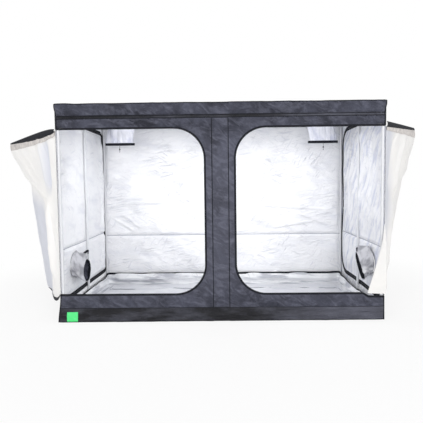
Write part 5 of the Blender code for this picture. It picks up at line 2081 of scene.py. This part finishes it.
def make_vent_sleeve(hand, side):
    body = "side_door_" + hand
    shape = vent_sleeve_shape(side)
    layers, mouth = make_sleeve_layers("vent_sleeve", hand, shape, 96, 26, "vent", body, flip=side < 0)
    hem = swept_piece("vent_sleeve_hem_" + hand, mouth, (-side, 0, 0), VENT_HEM, "tape", body, closed=True)
    port = circle_path((side * (HALF_WIDTH + VENT_RING_OUT), VENT_Y, VENT_Z), VENT_RADIUS, (1, 0, 0))
    section = mirrored(tape_section(*VENT_RING), -side)
    ring = swept_piece("vent_port_ring_" + hand, port, (side, 0, 0), section, "tape", body, closed=True)
    for piece, trims in zip(layers, ([hem, ring], [])):
        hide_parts("vent_sleeve_" + hand)
        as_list(trims)


# Strap, cords and locks
STRAP_STEP = 0.003
STRAP_THICKNESS = 0.001


def make_strap(hand, side):
    wall = HALF_WIDTH - CLOTH - GAP
    end = wall - STRAP_OUT
    low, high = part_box("vent_tie_strap_" + hand)
    middle_y, top = (low.y + high.y) / 2, STRAP_TOP - CLOTH / 2
    ends = ((wall, low.z + CLOTH), (end + STRAP_SEAT, top), (end, top))
    path = evenly([(side * x, middle_y, z) for x, z in ends], STRAP_STEP)
    section = [
        (-STRAP_HALF, 0), (-STRAP_HALF, STRAP_THICKNESS), (STRAP_HALF, STRAP_THICKNESS), (STRAP_HALF, 0),
    ]
    strap = swept_piece("tie_strap_" + hand, path, OUT_FRONT, section, "tape", "side_door_" + hand)
    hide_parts("vent_tie_strap_" + hand)


SHARP_DEGREES = 35
BORE_SHARE = 1.3
KNOT_UP = 0.003
# The lock's outline: shares of its radius and height, and None on the bore
LOCK_SHARES = (
    (None, 0.0), (0.80, 0.0), (0.95, 0.06), (1.0, 0.14), (1.0, 0.30), (0.92, 0.34), (1.0, 0.38),
    (1.0, 0.54), (0.92, 0.58), (1.0, 0.62), (0.96, 0.70), (0.86, 0.74), (0.66, 0.76), (0.66, 0.94),
    (0.56, 1.0), (None, 1.0), (None, 0.0),
)
KNOT_PROFILE = [
    (0.0004, -0.004), (0.0028, -0.0032), (0.0040, -0.001), (0.0037, 0.0012), (0.0024, 0.003),
    (0.0006, 0.0036),
]


def make_cord(name, points, body):
    curve = bpy.data.curves.new(name, "CURVE")
    curve.dimensions = "3D"
    curve.bevel_depth = CORD_RADIUS
    curve.bevel_resolution = 4
    curve.use_fill_caps = True
    spline = curve.splines.new("POLY")
    spline.points.add(len(points) - 1)
    for point, place in zip(spline.points, points):
        point.co = (*place, 1)
    curve.materials.append(MATERIALS["cord"])
    cord = bpy.data.objects.new(name, curve)
    bpy.context.scene.collection.objects.link(cord)
    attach(cord, body)
    return cord


def turned(name, profile, centre, look, body, sides=24):
    """A turned piece about an upright axis: profile is (radius, height) from the bottom up."""
    turns = 2 * math.pi * np.arange(sides) / sides
    x, y, z = centre
    points = [(x + r * math.cos(t), y + r * math.sin(t), z + h) for t in turns for r, h in profile]
    faces = grid_faces(sides, len(profile), False, wrap=True)
    piece = new_piece(name, points, faces, look, body)
    piece.data.set_sharp_from_angle(angle=math.radians(SHARP_DEGREES))
    return piece


def make_lock(name, node, body):
    """A cord lock: a ribbed barrel with a plunger on top, both bored for the cord."""
    low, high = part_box(node)
    centre = ((low.x + high.x) / 2, (low.y + high.y) / 2, low.z)
    radius, height = (high.x - low.x) / 2, high.z - low.z
    bore = CORD_RADIUS * BORE_SHARE
    profile = [(bore if r is None else r * radius, h * height) for r, h in LOCK_SHARES]
    lock = turned(name, profile, centre, "plastic", body)
    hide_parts(node)
    return lock


def make_knot(name, centre, body):
    return turned(name, KNOT_PROFILE, centre, "cord", body, sides=16)


def make_cords(hand, side):
    x, y = side * ROOF_SLEEVE_X, ROOF_SLEEVE_Y - ROOF_SLEEVE_RADIUS
    top = HEIGHT - ROOF_SLEEVE_DROP - GAP
    points = [(x, y, top - ROOF_CORD_LENGTH * k / 12) for k in range(13)]
    cord = make_cord("roof_drawcord_run_" + hand, points, "cover")
    lock = make_lock("roof_lock_" + hand, "roof_cord_lock_" + hand, "roof_cord_lock_" + hand)
    knot = make_knot("roof_cord_knot_" + hand, (x, y, top - ROOF_CORD_LENGTH + KNOT_UP), "cover")
    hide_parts("roof_drawcord_" + hand)
    low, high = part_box("vent_drawcord_" + hand)
    x, y = (low.x + high.x) / 2, (low.y + high.y) / 2
    points = [(x, y, high.z + (low.z - high.z) * k / 15) for k in range(16)]
    cord = make_cord("vent_drawcord_run_" + hand, points, "side_door_" + hand)
    lock = make_lock("vent_lock_" + hand, "vent_cord_lock_" + hand, "vent_cord_lock_" + hand)
    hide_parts("vent_drawcord_" + hand)


# Poles
POLE_SIDES = 32


def make_pole(name, node, along):
    """A round tube with softened ends, in place of a faceted pole; along is the number of its axis."""
    low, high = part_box(node)
    start, end = (low + high) / 2, (low + high) / 2
    start[along], end[along] = low[along], high[along]
    axis = (end - start).normalized()
    first = axis.orthogonal().normalized()
    second = axis.cross(first)
    length = (end - start).length
    soft = POLE_WALL / 3
    inner, radius = POLE_RADIUS - POLE_WALL, POLE_RADIUS
    profile = [
        (inner, soft), (radius - soft, 0), (radius, soft), (radius, length / 2), (radius, length - soft),
        (radius - soft, length), (inner, length - soft), (inner, length / 2), (inner, soft),
    ]
    points = []
    for k in range(POLE_SIDES):
        turn = 2 * math.pi * k / POLE_SIDES
        direction = math.cos(turn) * first + math.sin(turn) * second
        points += [tuple(start + h * axis + r * direction) for r, h in profile]
    faces = grid_faces(POLE_SIDES, len(profile), False, wrap=True)
    pole = new_piece(name, points, faces, "pole", "cover")
    pole.data.set_sharp_from_angle(angle=math.radians(SHARP_DEGREES))
    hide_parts(node)


CAD_POLES = ("floor_corner", "roof_corner", "side_post", "centre_post", "roof_cross", "hanging_bar")


def make_frame():
    """Smooth tubes stand for the faceted corner posts and rails; the side and centre posts, the cross beam,
    the hanging bars and the corner blocks keep their shape and take the white powder coat.
    """
    for end in ("front", "back"):
        for hand, _ in HANDS:
            make_pole(f"post_{end}_{hand}", f"corner_post_{end}_{hand}", 2)
    for level in ("floor", "roof"):
        for end, along in (("front", 0), ("back", 0), ("left", 1), ("right", 1)):
            make_pole(f"{level}_bar_{end}", f"{level}_rail_{end}", along)
    for node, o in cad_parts.items():
        if node.startswith(CAD_POLES):
            o.data.materials.clear()
            o.data.materials.append(MATERIALS["pole"])


# Zip sliders and the plain patch
def outline_piece(name, outline, thickness, place, look, body):
    """A flat outline given a thickness, with softened edges."""
    mesh = bpy.data.meshes.new(name)
    count = len(outline)
    points = [(a, b, 0) for a, b in outline] + [(a, b, thickness) for a, b in outline]
    faces = [list(reversed(range(count))), [count + k for k in range(count)]]
    faces += [[k, (k + 1) % count, count + (k + 1) % count, count + k] for k in range(count)]
    mesh.from_pydata(points, [], faces)
    mesh.transform(place)
    mesh.materials.append(MATERIALS[look])
    piece = bpy.data.objects.new(name, mesh)
    bpy.context.scene.collection.objects.link(piece)
    bevel = piece.modifiers.new("edges", "BEVEL")
    bevel.width = thickness / 4
    bevel.segments = 2
    bevel.limit_method = "ANGLE"
    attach(piece, body)
    return piece


SLIDER_SHARE = 0.36
NOSE_SHARES = ((0, 0.55), (0.35, 1.0), (1.0, 0.9))
TAB_START_SHARE = 0.45
TAB_ENDS_SHARES = (0.6, 0.5)
SLIDER_THICK_SHARES = (0.6, 0.65, 0.3)
FRONT_SLIDER_LIFT = 0.003
SIDE_SLIDER_LIFT = 0.002


def both_sides(points):
    """An outline from its points on one side."""
    return [(a, -b) for a, b in points] + [(a, b) for a, b in reversed(points)]


def make_slider(node, name, body, run, out, lift):
    """A slider's body and its pull tab: run is the way that the tab points, out the side of its face."""
    low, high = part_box(node)
    size = high - low
    length, thick = max(size.x, size.y), min(size.x, size.y)
    run, up, normal = Vector(run), Vector(UP), Vector(out)
    if run.cross(up).dot(normal) < 0:
        up = -up
    start = (low + high) / 2 - run * length / 2 - normal * (thick / 2 - lift)
    place = Matrix.Translation(start) @ Matrix((run, up, normal)).transposed().to_4x4()
    half, body_length = size.z / 2, length * SLIDER_SHARE
    body_share, raised_share, tab_share = SLIDER_THICK_SHARES
    nose = both_sides([(body_length * a, half * b) for a, b in NOSE_SHARES])
    slider = outline_piece(name, nose, thick * body_share, place, "plastic", body)
    tab_low, tab_half = body_length * TAB_START_SHARE, half * 0.5
    near, far = (tab_half * share for share in TAB_ENDS_SHARES)
    tab = both_sides([(tab_low, near), (length - tab_half, tab_half), (length, far)])
    raised = place @ Matrix.Translation((0, 0, thick * raised_share))
    pull = outline_piece(name + "_pull", tab, thick * tab_share, raised, "plastic", body)
    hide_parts(node)
    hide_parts(node)


def make_sliders(hand, side):
    for level in ("upper", "lower"):
        node = f"{level}_zip_slider_{hand}"
        make_slider(node, f"{level}_slider_{hand}", node, (-side, 0, 0), OUT_FRONT, FRONT_SLIDER_LIFT)
    node = "side_zip_slider_" + hand
    make_slider(node, "side_slider_" + hand, node, (0, 1, 0), (side, 0, 0), SIDE_SLIDER_LIFT)


PATCH_THICKNESS = 0.0015
PATCH_STEP = 0.004
PATCH_HEM = 0.003


def make_patch():
    low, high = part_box("plain_patch")

    def place(x, z):
        across, out, up = front_place(x, z)
        return across, out - PATCH_THICKNESS, up

    x_lines, z_lines = lines(low.x, high.x, PATCH_STEP), lines(low.z, high.z, PATCH_STEP)
    patch = sheet_piece("green_patch", x_lines, z_lines, place, "patch", "cover")
    solid = patch.modifiers.new("thickness", "SOLIDIFY")
    solid.thickness = PATCH_THICKNESS
    solid.offset = -1
    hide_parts("plain_patch")
    left, right = low.x + PATCH_HEM, high.x - PATCH_HEM
    foot, top = low.z + PATCH_HEM, high.z - PATCH_HEM
    corners = [(left, foot), (right, foot), (right, top), (left, top), (left, foot)]
    rows = []
    for start, end in zip(corners, corners[1:]):
        path = panel_line([start, end], PATCH_STEP)
        path[:, 1] -= PATCH_THICKNESS
        rows.append((path, OUT_FRONT))
    stitches("green_patch_stitching", rows, "patch", "cover")


DOORS = {
    "left": (LEFT_SWING_SHARES, LEFT_CORNER_RISE, LEFT_DOOR_FOLDS, 0.0, LEFT_FOOT_SAG),
    "right": (RIGHT_SWING_SHARES, RIGHT_CORNER_RISE, RIGHT_DOOR_FOLDS, RIGHT_BILLOW, RIGHT_FOOT_SAG),
}


def make_tent():
    make_front_panel()
    make_back_wall()
    make_roof()
    make_floor_cloth()
    make_cover_edges()
    make_tray()
    make_frame()
    for hand, side in HANDS:
        make_front_door(hand, side, *DOORS[hand])
    for hand, side in HANDS:
        make_side_wall(hand, side)
        make_roof_sleeve(hand, side)
        make_vent_sleeve(hand, side)
        make_strap(hand, side)
        make_cords(hand, side)
        make_sliders(hand, side)
    make_patch()


make_camera()
make_world()
make_lamp("key", **KEY_LAMP)
make_lamp("fill", **FILL_LAMP)
make_lamp("front", **FRONT_LAMP)
make_lamp("inner", **INNER_LAMP, seen=False)
make_lamp("roof", **ROOF_LAMP, seen=False)
make_floor()
make_tent()
bpy.context.scene.view_settings.view_transform = "Standard"
